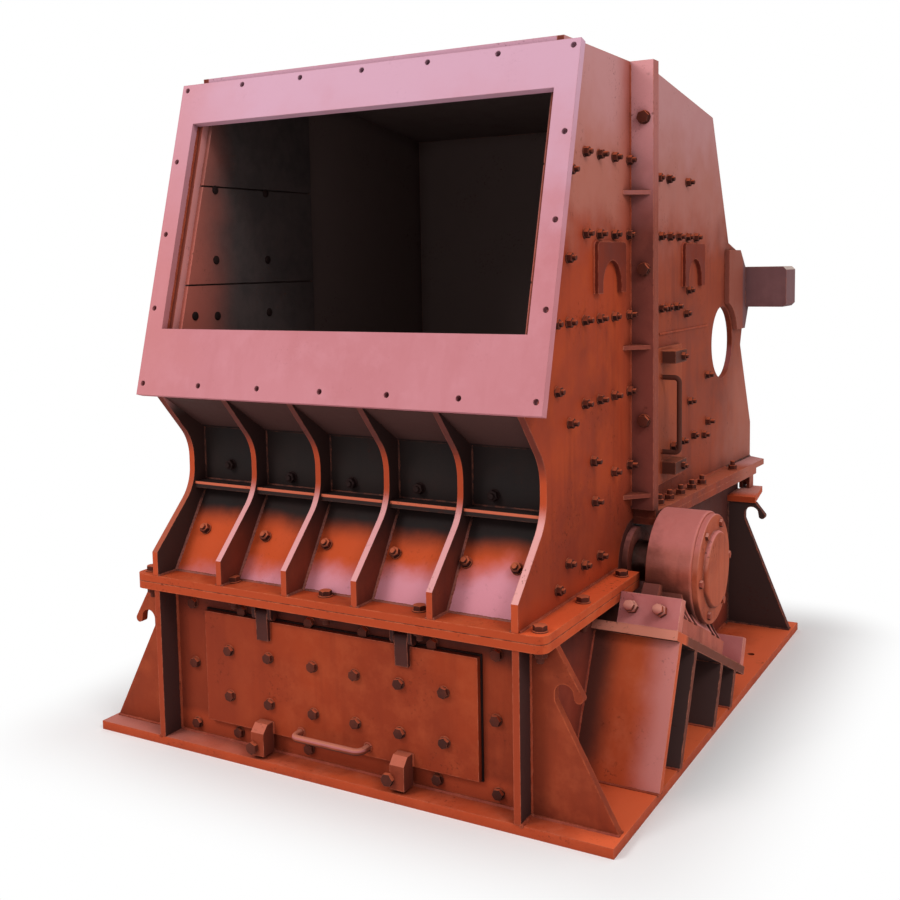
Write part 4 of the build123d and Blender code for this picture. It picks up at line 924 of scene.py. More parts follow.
class Forge:
    """Collects the faces of one piece and makes its mesh."""

    smooth_limit = math.radians(34.0)
    hexagon_points = 24
    chamfer = math.radians(30.0)
    chamfer_rim, chamfer_crown = 0.97, 0.93
    bead_step, bead_sides = 0.0045, 7
    bead_ripple = (0.96, 1.06, 1.12)
    wander_scale, wander_share = 60.0, 0.16
    swell_scale, swell_share = 35.0, 0.14

    def __init__(self, name: str) -> None:
        """Starts an empty piece.

        Args:
            name: The piece's name.
        """
        self.name = name
        self.points: list[Vector] = []
        self.faces: list[list[int]] = []

    def skin(self, rings: Sequence[Sequence[Vector]]) -> None:
        """Joins a stack of rings that have the same number of points, closed at both ends.

        Args:
            rings: The rings, each in the same turning sense.
        """
        start, size = len(self.points), len(rings[0])
        for ring in rings:
            self.points.extend(ring)
        for level in range(len(rings) - 1):
            low = start + level * size
            for i in range(size):
                j = (i + 1) % size
                self.faces.append([low + i, low + j, low + size + j, low + size + i])
        top = start + (len(rings) - 1) * size
        self.faces.append([start + i for i in reversed(range(size))])
        self.faces.append([top + i for i in range(size)])

    @staticmethod
    def _ring(place: Matrix, spots: Sequence[Triple]) -> list[Vector]:
        """Places points that are given by radius, turn and height."""
        return [place @ Vector((r * math.cos(a), r * math.sin(a), z)) for r, a, z in spots]

    def turned(self, place: Matrix, profile: Sequence[Pair], sides: int = 16) -> None:
        """Turns a profile about the placement's Z axis.

        Args:
            place: The placement.
            profile: Radius and height of each ring, from the foot up.
            sides: The number of points round a ring.
        """
        angles = [2.0 * math.pi * i / sides for i in range(sides)]
        self.skin([self._ring(place, [(r, a, z) for a in angles]) for r, z in profile])

    def hexagon(self, place: Matrix, across: float, height: float, base: float) -> None:
        """Adds a hexagonal head or nut with its chamfered top.

        Args:
            place: The placement of its foot.
            across: The size across flats.
            height: The height.
            base: How far above the placement it starts.
        """
        flat = across / 2.0
        angles = [2.0 * math.pi * i / self.hexagon_points for i in range(self.hexagon_points)]
        radii = [flat / math.cos((a % (math.pi / 3.0)) - math.pi / 6.0) for a in angles]
        slope = math.tan(self.chamfer)
        rim, crown = flat * self.chamfer_rim, flat * self.chamfer_crown
        top = [base + height - (r - rim) * slope for r in radii]
        self.skin([
            self._ring(place, [(r, a, base) for a, r in zip(angles, radii)]),
            self._ring(place, [(r, a, z) for a, r, z in zip(angles, radii, top)]),
            self._ring(place, [(crown, a, base + height) for a in angles]),
        ])

    def slab(self, place: Matrix, size: Triple, edge: float) -> None:
        """Adds a plate centred on the placement, standing on its Z axis, with broken edges.

        Args:
            place: The placement.
            size: Its two lengths and its thickness.
            edge: How far its edges are broken.
        """
        x, y, z = size[0] / 2.0, size[1] / 2.0, size[2]
        corner = [(1, 1), (-1, 1), (-1, -1), (1, -1)]

        def ring(inset: float, height: float) -> list[Vector]:
            """Lays the points round the plate at one height.

            Args:
                inset: How far they stand in from the plate's sides.
                height: The height above the placement.

            Returns:
                Eight points, two to a corner.
            """
            points = []
            for a, b in corner:
                ends = [(a * (x - inset), b * (y - inset - edge)),
                        (a * (x - inset - edge), b * (y - inset))]
                for p, q in ends if a * b > 0 else reversed(ends):
                    points.append(place @ Vector((p, q, height)))
            return points

        self.skin([ring(edge, 0.0), ring(0.0, edge), ring(0.0, z - edge), ring(edge, z)])

    def bead(self, path: Sequence[Sequence[float]], radius: float, seed: int = 0) -> None:
        """Lays a rippled weld bead along a line of points.

        Args:
            path: The line's corners.
            radius: Half the bead's width.
            seed: Changes the wander of the bead.
        """
        corners = [Vector(p) for p in path]
        rings: list[list[Vector]] = []
        count = 0
        for a, b in zip(corners, corners[1:]):
            along = (b - a).normalized()
            side = along.cross(UP if abs(along.z) < 0.9 else FORWARD).normalized()
            over = side.cross(along)
            steps = max(2, round((b - a).length / self.bead_step))
            for i in range(steps + (b == corners[-1])):
                centre = a.lerp(b, i / steps)
                spot = centre * self.wander_scale + Vector((seed, 0.0, 0.0))
                wander = noise.noise_vector(spot) * radius * self.wander_share
                lump = 1.0 + self.swell_share * noise.noise(centre * self.swell_scale)
                swell = self.bead_ripple[count % 3] * lump
                count += 1
                ring = []
                for k in range(self.bead_sides):
                    turn = 2.0 * math.pi * k / self.bead_sides
                    out = side * math.cos(turn) + over * math.sin(turn)
                    ring.append(centre + wander + out * radius * swell)
                rings.append(ring)
        self.skin(rings)

    def finish(self, body: Body, slot: Slot, material: bpy.types.Material) -> bpy.types.Object:
        """Makes the object, rides it on its body and reports it.

        Args:
            body: The body that it moves with.
            slot: Not used.
            material: Its material.

        Returns:
            The new object.
        """
        mesh = bpy.data.meshes.new(self.name)
        mesh.from_pydata([tuple(p) for p in self.points], [], self.faces)
        mesh.validate()
        mesh.update()
        mesh.shade_smooth()
        mesh.set_sharp_from_angle(angle=self.smooth_limit)
        mesh.materials.append(material)
        piece = bpy.data.objects.new(self.name, mesh)
        bpy.context.scene.collection.objects.link(piece)
        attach(piece, body.value)
        LOG.info("%s: %d faces on %s", self.name, len(self.faces), body.value)
        return piece


@dataclass(frozen=True)
class Fastener:
    """A bolt of one thread size; its other sizes are shares of the thread."""

    thread: float
    flats: float = 1.5
    head_height: float = 0.64
    nut_height: float = 0.82
    washer_reach: float = 0.95
    washer_height: float = 0.16
    washer_edge: float = 0.7
    washer_crown: float = 0.95
    washer_sides: int = 20
    stud_r: float = 0.48
    stud_tip_r: float = 0.38
    stud_taper: float = 0.1
    stud_sides: int = 12

    def washer(self, forge: Forge, place: Matrix) -> float:
        """Adds the washer.

        Args:
            forge: The piece that it is added to.
            place: Its placement.

        Returns:
            Its thickness.
        """
        thick, reach = self.washer_height * self.thread, self.washer_reach * self.thread
        profile = [(reach, 0.0), (reach, thick * self.washer_edge),
                   (reach * self.washer_crown, thick)]
        forge.turned(place, profile, self.washer_sides)
        return thick

    def head(self, forge: Forge, place: Matrix, washer: bool = True) -> None:
        """Adds a bolt head.

        Args:
            forge: The piece that it is added to.
            place: Its placement.
            washer: Whether it has a washer.
        """
        base = self.washer(forge, place) if washer else 0.0
        forge.hexagon(place, self.flats * self.thread, self.head_height * self.thread, base)

    def nut(self, forge: Forge, place: Matrix, tail: float, washer: bool = True) -> None:
        """Adds a nut with the end of its stud.

        Args:
            forge: The piece that it is added to.
            place: Its placement.
            tail: How far the stud stands out of it, in thread sizes.
            washer: Whether it has a washer.
        """
        base = self.washer(forge, place) if washer else 0.0
        forge.hexagon(place, self.flats * self.thread, self.nut_height * self.thread, base)
        radius, end = self.stud_r * self.thread, base + (self.nut_height + tail) * self.thread
        neck, tip = end - self.stud_taper * self.thread, self.stud_tip_r * self.thread
        forge.turned(place, [(radius, 0.0), (radius, neck), (tip, end)], self.stud_sides)


M16, M18, M20, M24 = (Fastener(thread) for thread in (0.016, 0.018, 0.020, 0.024))


class Turns:
    """Seeded turns of hexagons about their own axes, so that no two rows line up."""

    def __init__(self, seed: int) -> None:
        """Starts the draw."""
        self.draw = random.Random(seed)

    def next(self) -> float:
        """Returns the next turn."""
        return self.draw.uniform(0.0, math.pi / 3.0)


# The frame's own lines, from the CAD nodes


@dataclass
class Lines:
    """Planes and edges of the plates, read from the CAD boxes."""

    mouth_tilt: Pair = (-0.96352, 0.26765)
    joint_slope: float = -42.0 / 1290.0
    seat_tilt: float = math.radians(25.0)
    seat_drop: float = 0.250
    seat_thk: float = 0.030
    frame_thk: float = 0.030
    rear_flange_thk: float = 0.0243
    split_thk: float = 0.025
    split_back: float = 0.0253
    side_x: float = field(init=False)
    inner_x: float = field(init=False)
    top_z: float = field(init=False)
    split_y: float = field(init=False)
    flange_front_y: float = field(init=False)
    deck_z: float = field(init=False)
    flange_low_z: float = field(init=False)
    ground_z: float = field(init=False)
    wall_y: float = field(init=False)
    rear_wall_y: float = field(init=False)
    mouth_low: Sequence[float] = field(init=False)
    riser_front_z: float = field(init=False)
    axis_y: float = field(init=False)
    axis_z: float = field(init=False)

    def __post_init__(self) -> None:
        """Reads the boxes."""
        side_low, side_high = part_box("front_side_plate_right")
        self.side_x = side_high[0]
        self.inner_x = side_low[0]
        self.top_z = side_high[2]
        self.split_y = side_high[1]
        flange_low, flange_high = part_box("front_housing_flange")
        self.flange_front_y, self.deck_z = flange_low[1], flange_high[2]
        self.flange_low_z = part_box("base_flange")[0][2]
        self.ground_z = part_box("base_plate")[1][2]
        self.wall_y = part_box("base_front_wall")[0][1]
        self.rear_wall_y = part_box("base_rear_wall")[1][1]
        self.mouth_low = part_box("mouth_frame")[0]
        self.riser_front_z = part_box("riser_flange")[1][2]
        cover_low, cover_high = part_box("bearing_cover_right")
        self.axis_y = (cover_low[1] + cover_high[1]) / 2.0
        self.axis_z = (cover_low[2] + cover_high[2]) / 2.0

    def rise(self, y: float) -> float:
        """Returns the height of the sloping joint at a depth."""
        return self.riser_front_z + self.joint_slope * (y - self.split_y)

    def seat(self, along: float, above: float) -> Pair:
        """Finds a point by the bearing's seat.

        Args:
            along: How far down the seat from under the rotor's axis.
            above: How far off the seat.

        Returns:
            Its depth and height.
        """
        sine, cosine = math.sin(self.seat_tilt), math.cos(self.seat_tilt)
        y = self.axis_y - self.seat_drop * sine + along * cosine + above * sine
        return (y, self.axis_z - self.seat_drop * cosine - along * sine + above * cosine)

    def foot(self, along: float) -> Pair:
        """Returns depth and height on the base plate, square under a point of the seat."""
        y, z = self.seat(along, 0.0)
        return (y - (z - self.ground_z) * math.tan(self.seat_tilt), self.ground_z)

    def mouth_back(self, up: float) -> Pair:
        """Finds a point on the back of the mouth frame.

        Args:
            up: How far up its slope from the frame's foot.

        Returns:
            Its depth and height.
        """
        foot_y = self.mouth_low[1] - self.frame_thk * self.mouth_tilt[0]
        foot_z = self.mouth_low[2]
        return (foot_y + up * self.mouth_tilt[1], foot_z - up * self.mouth_tilt[0])


# Sub-assemblies

THICK_BEAD, BEAD, THIN_BEAD, FINE_BEAD = 0.007, 0.006, 0.005, 0.004


@dataclass
class BaseDetail:
    """Bolts and welds of the base, its flange and its hook plates."""

    lines: Lines
    shop: Paintshop
    wall_bolts_z: float = 0.482
    wall_bolts: tuple[float, ...] = (-0.577, -0.365, -0.095, 0.109, 0.354, 0.566)
    foot_bolts_z: float = 0.067
    foot_bolts: tuple[float, ...] = (-0.577, -0.396, -0.110, 0.362, 0.566)
    edge_bolts: tuple[Pair, ...] = ((-0.577, 0.278), (0.561, 0.287))
    flange_front_x: Triple = (-0.380, -0.015, 0.324)
    flange_front_inset: float = 0.061
    flange_side_x: float = 0.720
    flange_side_y: Triple = (-1.050, -0.744, -0.420)
    hook_edges: tuple[Pair, ...] = (
        (-1.0205, 0.535), (-0.9955, 0.535), (0.9725, 0.565), (0.9975, 0.565),
    )
    hook_foot_x: float = 0.940
    wing_front_y: float = -1.092
    wing_inset: float = 0.01
    flange_weld_end_y: float = -0.36
    wall_end_y: float = 1.088
    flange_nut_tail: float = 0.7
    rib_along: tuple[float, ...] = (-0.250, -0.078, 0.248, 0.429)
    rib_half: float = 0.012
    seat_reach: float = 0.955

    def build(self) -> None:
        """Builds every piece of the base."""
        self._wall_bolts()
        self._flange_bolts()
        self._welds()

    def _wall_bolts(self) -> None:
        """Adds the heads round the edge of the front wall."""
        forge, turns = Forge("front_wall_bolts"), Turns(11)
        places = [(x, self.wall_bolts_z) for x in self.wall_bolts]
        places += [(x, self.foot_bolts_z) for x in self.foot_bolts] + list(self.edge_bolts)
        for x, z in places:
            M20.head(forge, facing((x, self.lines.wall_y, z), FORWARD, turns.next()))
        forge.finish(Body.BASE, Slot.PAINT, self.shop.bolts)

    def _flange_bolts(self) -> None:
        """Adds heads on top of the joint and nuts under it."""
        forge, turns = Forge("joint_bolts"), Turns(12)
        front_y = self.lines.flange_front_y + self.flange_front_inset
        places = [(x, front_y) for x in self.flange_front_x]
        places += [(s * self.flange_side_x, y) for s in SIDES for y in self.flange_side_y]
        for x, y in places:
            M24.head(forge, facing((x, y, self.lines.deck_z), UP, turns.next()))
            M24.nut(forge, facing((x, y, self.lines.flange_low_z), -UP, turns.next()),
                    self.flange_nut_tail)
        forge.finish(Body.BASE, Slot.PAINT, self.shop.bolts)

    def _welds(self) -> None:
        """Lays the beads where the base plates meet."""
        lines, forge = self.lines, Forge("base_welds")
        low, high = lines.ground_z, lines.flange_low_z
        wall_x, inner_x = lines.side_x, lines.inner_x
        for s in SIDES:
            x = s * wall_x
            forge.bead([(x, self.wing_front_y, low), (x, self.wall_end_y, low)], THICK_BEAD)
            start_y = self.wing_front_y + self.wing_inset
            forge.bead([(x, start_y, high), (x, self.flange_weld_end_y, high)], BEAD, 3)
            for y in (lines.wall_y, lines.rear_wall_y):
                forge.bead([(s * inner_x, y, low), (s * inner_x, y, high)], BEAD, 4)
            for i, (y, top) in enumerate(self.hook_edges):
                forge.bead([(x, y, top), (x, y, low), (s * self.hook_foot_x, y, low)], BEAD, i)
            for i, along in enumerate(self.rib_along):
                for side in SIDES:
                    foot = lines.foot(along + side * self.rib_half)
                    head = lines.seat(along + side * self.rib_half, -lines.seat_thk)
                    forge.bead([(s * self.seat_reach, *foot), (x, *foot), (x, *head)], THIN_BEAD,
                               7 + i)
        forge.bead([(-inner_x, lines.wall_y, low), (inner_x, lines.wall_y, low)], THICK_BEAD, 1)
        forge.bead([(-inner_x, lines.wall_y, high), (inner_x, lines.wall_y, high)], BEAD, 2)
        forge.bead([(-inner_x, lines.rear_wall_y, low), (inner_x, lines.rear_wall_y, low)],
                   THICK_BEAD, 5)
        forge.finish(Body.BASE, Slot.PAINT, self.shop.beads)


@dataclass
class DoorDetail:
    """Bolts of the front door, its clamps, the dark strips of painted shade round it, and the welds
    on it.
    """

    lines: Lines
    shop: Paintshop
    bolt_x: tuple[float, ...] = (-0.410, -0.248, -0.074, 0.085, 0.245, 0.400)
    bolt_rows: Pair = (0.350, 0.197)
    clamp_bolts: tuple[Pair, ...] = ((-0.280, 0.066), (0.234, 0.071))
    clamp_edges: tuple[float, ...] = (-0.288, -0.238, 0.238, 0.288)
    clamp_weld_z: float = 0.100
    handle_feet: Pair = (-0.127, 0.127)
    handle_z: float = 0.126
    handle_weld_r: float = 0.013
    handle_weld_sides: int = 12
    door_thk: float = 0.0223
    door_height: float = 0.372
    # Dark strips of painted shade in the gap round the door.
    gap_shade_width: float = 0.006
    gap_shade_thk: float = 0.005
    gap_shade_edge: float = 0.001

    def build(self) -> None:
        """Builds every piece on the door."""
        forge, turns = Forge("door_bolts"), Turns(21)
        front_y = self.lines.wall_y - self.door_thk
        for z in self.bolt_rows:
            for x in self.bolt_x:
                M20.head(forge, facing((x, front_y, z), FORWARD, turns.next()))
        clamp_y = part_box("door_clamps")[0][1]
        for x, z in self.clamp_bolts:
            M24.head(forge, facing((x, clamp_y, z), FORWARD, turns.next()), washer=False)
        forge.finish(Body.DOOR, Slot.PAINT, self.shop.bolts)
        self._welds(front_y)
        self._gap_shade()

    def _welds(self, front_y: float) -> None:
        """Lays the beads round the clamps and the handle's feet.

        Args:
            front_y: The depth of the door's face.
        """
        forge = Forge("door_welds")
        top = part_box("door_clamps")[1][2]
        for i, x in enumerate(self.clamp_edges):
            forge.bead([(x, front_y, top), (x, front_y, self.clamp_weld_z)], THIN_BEAD, i)
        sides, radius = self.handle_weld_sides, self.handle_weld_r
        turns = [2.0 * math.pi * i / sides for i in range(sides + 1)]
        for x in self.handle_feet:
            ring = [(x + radius * math.cos(a), front_y,
                     self.handle_z + radius * math.sin(a)) for a in turns]
            forge.bead(ring, FINE_BEAD, 9)
        forge.finish(Body.DOOR, Slot.PAINT, self.shop.beads)

    def _gap_shade(self) -> None:
        """Lays dark strips round the door's edge, painted shade for the gap between door and wall.
        """
        forge = Forge("door_gap_shade")
        low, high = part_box("access_door")
        x, bottom, top = high[0], low[2], low[2] + self.door_height
        middle, y = (bottom + top) / 2.0, self.lines.wall_y
        upright = (self.gap_shade_width, top - bottom + 2.0 * self.gap_shade_width, self.gap_shade_thk)
        for s in SIDES:
            place = facing((s * (x + self.gap_shade_width / 2.0), y, middle), FORWARD)
            forge.slab(place, upright, self.gap_shade_edge)
        level = (2.0 * x, self.gap_shade_width, self.gap_shade_thk)
        for z in (bottom - self.gap_shade_width / 2.0, top + self.gap_shade_width / 2.0):
            forge.slab(facing((0.0, y, z), FORWARD), level, self.gap_shade_edge)
        forge.finish(Body.DOOR, Slot.PAINT, self.shop.shade_black)


@dataclass
class RecessDetail:
    """Bolts on the sloped plates and the upright wall, and welds along the ribs."""

    lines: Lines
    shop: Paintshop
    bolt_x: tuple[float, ...] = (-0.584, -0.326, -0.081, 0.178, 0.425, 0.593)
    bolt_up: float = 0.155
    bolt_tail: float = 0.45
    wall_nuts: tuple[Pair, ...] = (
        (-0.535, 0.929), (-0.277, 0.905), (-0.036, 0.905), (0.217, 0.908), (0.477, 0.908),
    )
    foot: Pair = (-1.010, 0.585)
    head: Pair = (-0.840, 0.850)
    hood_low: Pair = (-0.840, 1.055)
    ledge_top_z: float = 0.872
    rib_nose_y: float = -1.095
    rib_half: float = 0.010
    rib_count: int = 4

    def build(self) -> None:
        """Builds the bolts and the beads."""
        run, climb = self.head[0] - self.foot[0], self.head[1] - self.foot[1]
        length = math.hypot(run, climb)
        normal = (0.0, -climb / length, run / length)
        forge, turns = Forge("slope_bolts"), Turns(31)
        for x in self.bolt_x:
            y = self.foot[0] + run / length * self.bolt_up
            z = self.foot[1] + climb / length * self.bolt_up
            M20.nut(forge, facing((x, y, z), normal, turns.next()), self.bolt_tail)
        forge.finish(Body.BASE, Slot.PAINT, self.shop.bolts)
        # The nuts on the upright wall are near black, painted shade under the hood.
        nuts = Forge("recess_nuts")
        for x, z in self.wall_nuts:
            M20.nut(nuts, facing((x, self.head[0], z), FORWARD, turns.next()), self.bolt_tail)
        nuts.finish(Body.BASE, Slot.PAINT, self.shop.shade_black)
        self._welds()

    def _welds(self) -> None:
        """Lays a bead down both sides of each rib."""
        forge = Forge("recess_welds")
        box_low, box_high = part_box("recess_ribs")
        pitch = (box_high[0] - box_low[0] - 2.0 * self.rib_half) / (self.rib_count - 1)
        ribs = [box_low[0] + self.rib_half + i * pitch for i in range(self.rib_count)]
        inner, deck = self.lines.inner_x, self.lines.deck_z
        edges = [x + s * self.rib_half for x in ribs for s in SIDES] + [-inner, inner]
        ledge = (self.head[0], self.ledge_top_z)
        for i, x in enumerate(edges):
            forge.bead([(x, self.rib_nose_y, deck), (x, *self.foot), (x, *self.head)], BEAD, i)
            forge.bead([(x, *ledge), (x, *self.hood_low)], FINE_BEAD, i)
        forge.bead([(-inner, *self.foot), (inner, *self.foot)], THIN_BEAD, 40)
        forge.bead([(-inner, *ledge), (inner, *ledge)], FINE_BEAD, 41)
        # These beads take the painted shade of the recess.
        forge.finish(Body.BASE, Slot.PAINT, self.shop.shaded_beads)


@dataclass
class SidePlateDetail:
    """Liner bolts, welds and seams of the four side plates."""

    lines: Lines
    shop: Paintshop
    front_rows: tuple[Row, ...] = (
        (1.930, (-0.605, -0.492, -0.369, -0.237)),
        (1.686, (-0.608, -0.499, -0.371, -0.239)),
        (1.423, (-0.837, -0.743, -0.618, -0.499, -0.373, -0.239)),
        (1.168, (-0.622, -0.501, -0.379, -0.238)),
        (0.918, (-0.381, -0.238)),
        (0.668, (-0.634, -0.506)),
    )
    front_singles: tuple[Pair, ...] = (
        (-0.720, 1.870), (-0.739, 1.613), (-0.826, 1.226), (-0.736, 1.123), (-0.556, 0.980),
        (-0.546, 0.851), (-0.754, 0.701), (-0.833, 0.639),
    )
    rear_rows: tuple[Row, ...] = (
        (1.890, (0.060, 0.167, 0.386)),
        (1.686, (0.080, 0.178, 0.281, 0.389, 0.489)),
        (1.430, (0.081, 0.159, 0.252)),
        (0.921, (0.468,)),
    )
    rear_singles: tuple[Pair, ...] = (
        (0.402, 1.486), (0.370, 1.399), (0.419, 1.060), (0.644, 1.141), (0.654, 0.952),
        (0.600, 0.905), (0.326, 0.918),
    )
    stud_tails: Pair = (0.45, 0.95)
    hatch_nut: Pair = (0.176, 0.923)
    hatch_thk: float = 0.014
    clamp_reach: float = 0.056
    clamp_y: float = 0.125
    clamp_heights: Pair = (1.258, 0.861)
    hatch_tail: float = 0.5
    clamp_tail: float = 0.6
    seam_z: float = 1.338
    seam_y: Pair = (0.074, 0.653)
    pad_half: float = 0.122
    pad_foot_z: float = 1.500
    pad_corner: float = 0.018
    pad_turns: tuple[float, ...] = (0.0, 30.0, 60.0, 90.0)
    deck_weld_y: Pair = (-1.09, -0.352)
    mouth_weld: Pair = (0.008, 1.0714)
    split_foot_z: float = 0.772
    top_inset: float = 0.01
    flange_end_y: float = 1.322

    def build(self) -> None:
        """Builds the bolts and the beads of both halves."""
        self._bolts("front_liner_nuts", Body.BASE, self.front_rows, self.front_singles, 41)
        self._bolts("rear_liner_nuts", Body.REAR, self.rear_rows, self.rear_singles, 42)
        self._hatch_fasteners()
        self._front_welds()
        self._rear_welds()

    def _bolts(self, name: str, body: Body, rows: tuple[Row, ...], singles: tuple[Pair, ...],
               seed: int) -> None:
        """Adds nuts with stud ends on both side plates.

        Args:
            name: The piece's name.
            body: The body that the plates are on.
            rows: Height of each row with the depths of its nuts.
            singles: Depth and height of the nuts outside the rows.
            seed: Sets the nuts' turns and the studs' lengths.
        """
        forge, turns = Forge(name), Turns(seed)
        spots = [(y, z) for z, depths in rows for y in depths] + list(singles)
        for s in SIDES:
            for y, z in spots:
                place = facing((s * self.lines.side_x, y, z), (s, 0.0, 0.0), turns.next())
                M18.nut(forge, place, turns.draw.uniform(*self.stud_tails))
        forge.finish(body, Slot.PAINT, self.shop.bolts)

    def _hatch_fasteners(self) -> None:
        """Adds a nut and the clamp screws of both hatches."""
        forge, turns = Forge("hatch_fasteners"), Turns(43)
        face_x = self.lines.side_x + self.hatch_thk
        for s in SIDES:
            M20.nut(forge, facing((s * face_x, *self.hatch_nut), (s, 0.0, 0.0), turns.next()),
                    self.hatch_tail)
            for z in self.clamp_heights:
                spot = (s * (face_x + self.clamp_reach), self.clamp_y, z)
                M16.nut(forge, facing(spot, (s, 0.0, 0.0), turns.next()), self.clamp_tail,
                        washer=False)
        forge.finish(Body.REAR, Slot.PAINT, self.shop.bolts)

    def _pad(self, forge: Forge, s: float, node: str) -> None:
        """Lays a bead round a welded pad, over its top and down both sides.

        Args:
            forge: The piece that it is added to.
            s: The side, 1 for right and -1 for left.
            node: The pads' node.
        """
        low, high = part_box(node)
        x, middle, top = s * self.lines.side_x, (low[1] + high[1]) / 2.0, high[2]
        corner, half = self.pad_corner, self.pad_half
        path = [(x, middle - half, self.pad_foot_z)]
        for side, turns in ((-1.0, self.pad_turns), (1.0, self.pad_turns[::-1])):
            for turn in turns:
                reach = half - corner + corner * math.cos(math.radians(turn))
                height = top - corner + corner * math.sin(math.radians(turn))
                path.append((x, middle + side * reach, height))
        path.append((x, middle + half, self.pad_foot_z))
        forge.bead(path, THIN_BEAD, 2)

    def _front_welds(self) -> None:
        """Lays the beads of the front half."""
        lines, forge = self.lines, Forge("front_housing_welds")
        split, top = lines.split_y - lines.split_thk, lines.top_z - self.top_inset
        for s in SIDES:
            x = s * lines.side_x
            forge.bead([(x, y, lines.deck_z) for y in self.deck_weld_y], BEAD)
            forge.bead([(x, *lines.mouth_back(up)) for up in self.mouth_weld], THICK_BEAD, 5)
            forge.bead([(x, split, self.split_foot_z), (x, split, top)], FINE_BEAD, 6)
            self._pad(forge, s, "front_arch_pads")
        forge.finish(Body.BASE, Slot.PAINT, self.shop.beads)

    def _rear_welds(self) -> None:
        """Lays the beads of the rear half."""
        lines, forge = self.lines, Forge("rear_housing_welds")
        split, end = lines.split_y + lines.split_back, self.flange_end_y
        foot, top = lines.rise(split) + lines.rear_flange_thk, lines.top_z - self.top_inset
        end_z = lines.rise(end) + lines.rear_flange_thk
        for s in SIDES:
            x = s * lines.side_x
            forge.bead([(x, split, foot), (x, split, top)], BEAD, 1)
            forge.bead([(x, split, foot), (x, end, end_z)], BEAD, 2)
            forge.bead([(x, y, self.seam_z) for y in self.seam_y], THIN_BEAD, 3)
            self._pad(forge, s, "rear_arch_pads")
        forge.finish(Body.REAR, Slot.PAINT, self.shop.beads)


@dataclass
class JointDetail:
    """Bolts of the upright split joint and of the sloping joint."""

    lines: Lines
    shop: Paintshop
    split_heights: Triple = (2.067, 1.571, 1.066)
    split_x: float = 0.723
    split_tail: float = 0.6
    slope_y: tuple[float, ...] = (-0.056, 0.053, 0.179, 0.312, 0.440, 0.874)
    slope_x: float = 0.722
    slope_tail: float = 0.9
    riser_flange_thk: float = 0.024

    def build(self) -> None:
        """Builds heads in front of the joint and nuts behind it."""
        lines = self.lines
        heads, turns = Forge("split_joint_bolts"), Turns(51)
        nuts = Forge("split_joint_nuts")
        front, back = lines.split_y - lines.split_thk, lines.split_y + lines.split_back
        for s in SIDES:
            for z in self.split_heights:
                x = s * self.split_x
                M24.head(heads, facing((x, front, z), FORWARD, turns.next()))
                M24.nut(nuts, facing((x, back, z), -FORWARD, turns.next()), self.split_tail)
        slope = math.atan(lines.joint_slope)
        up = Vector((0.0, -math.sin(slope), math.cos(slope)))
        for s in SIDES:
            for y in self.slope_y:
                x, top, low = s * self.slope_x, lines.rise(y) + lines.rear_flange_thk, lines.rise(y)
                M20.nut(nuts, facing((x, y, top), up, turns.next()), self.slope_tail)
                M20.head(heads, facing((x, y, low - self.riser_flange_thk), -up, turns.next()))
        heads.finish(Body.BASE, Slot.PAINT, self.shop.bolts)
        nuts.finish(Body.REAR, Slot.PAINT, self.shop.bolts)


@dataclass
class BearingDetail:
    """Cover bolts, foot nuts and jacking screws of both bearings."""

    lines: Lines
    shop: Paintshop
    cover_bolt_r: float = 0.156
    cover_bolts: int = 6
    cover_turn: float = math.radians(5.0)
    cover_step: float = 0.020
    foot_along: float = 0.2275
    foot_above: float = 0.046
    foot_x: Pair = (0.812, 0.905)
    foot_tail: float = 0.8
    screw_tail: float = 0.4
    screw_x: Pair = (0.800, 0.893)
    screw_above: float = 0.052
    screw_out: float = 0.028
    screw_across: float = 0.030
    screw_height: float = 0.016
    stop_along: Pair = (-0.292, 0.538)

    def build(self) -> None:
        """Builds the fasteners of both bearings."""
        forge, turns = Forge("bearing_bolts"), Turns(61)
        tilt = self.lines.seat_tilt
        normal = Vector((0.0, math.sin(tilt), math.cos(tilt)))
        along = Vector((0.0, math.cos(tilt), -math.sin(tilt)))
        rim_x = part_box("bearing_cover_right")[0][0] + self.cover_step
        for s in SIDES:
            for i in range(self.cover_bolts):
                turn = self.cover_turn + 2.0 * math.pi * i / self.cover_bolts
                y = self.lines.axis_y + self.cover_bolt_r * math.cos(turn)
                z = self.lines.axis_z + self.cover_bolt_r * math.sin(turn)
                M16.head(forge, facing((s * rim_x, y, z), (s, 0.0, 0.0), turns.next()),
                         washer=False)
            for end in SIDES:
                spot = self.lines.seat(end * self.foot_along, self.foot_above)
                for x in self.foot_x:
                    M20.nut(forge, facing((s * x, *spot), normal, turns.next()), self.foot_tail,
                            washer=False)
            for end, way in zip(self.stop_along, (-along, along)):
                for x in self.screw_x:
                    place = facing((s * x, *self.lines.seat(end, self.screw_above)), way,
                                   turns.next())
                    M24.nut(forge, place, self.screw_tail, washer=False)
                    forge.hexagon(place, self.screw_across, self.screw_height, self.screw_out)
        forge.finish(Body.BASE, Slot.PAINT, self.shop.bearing_bolts)


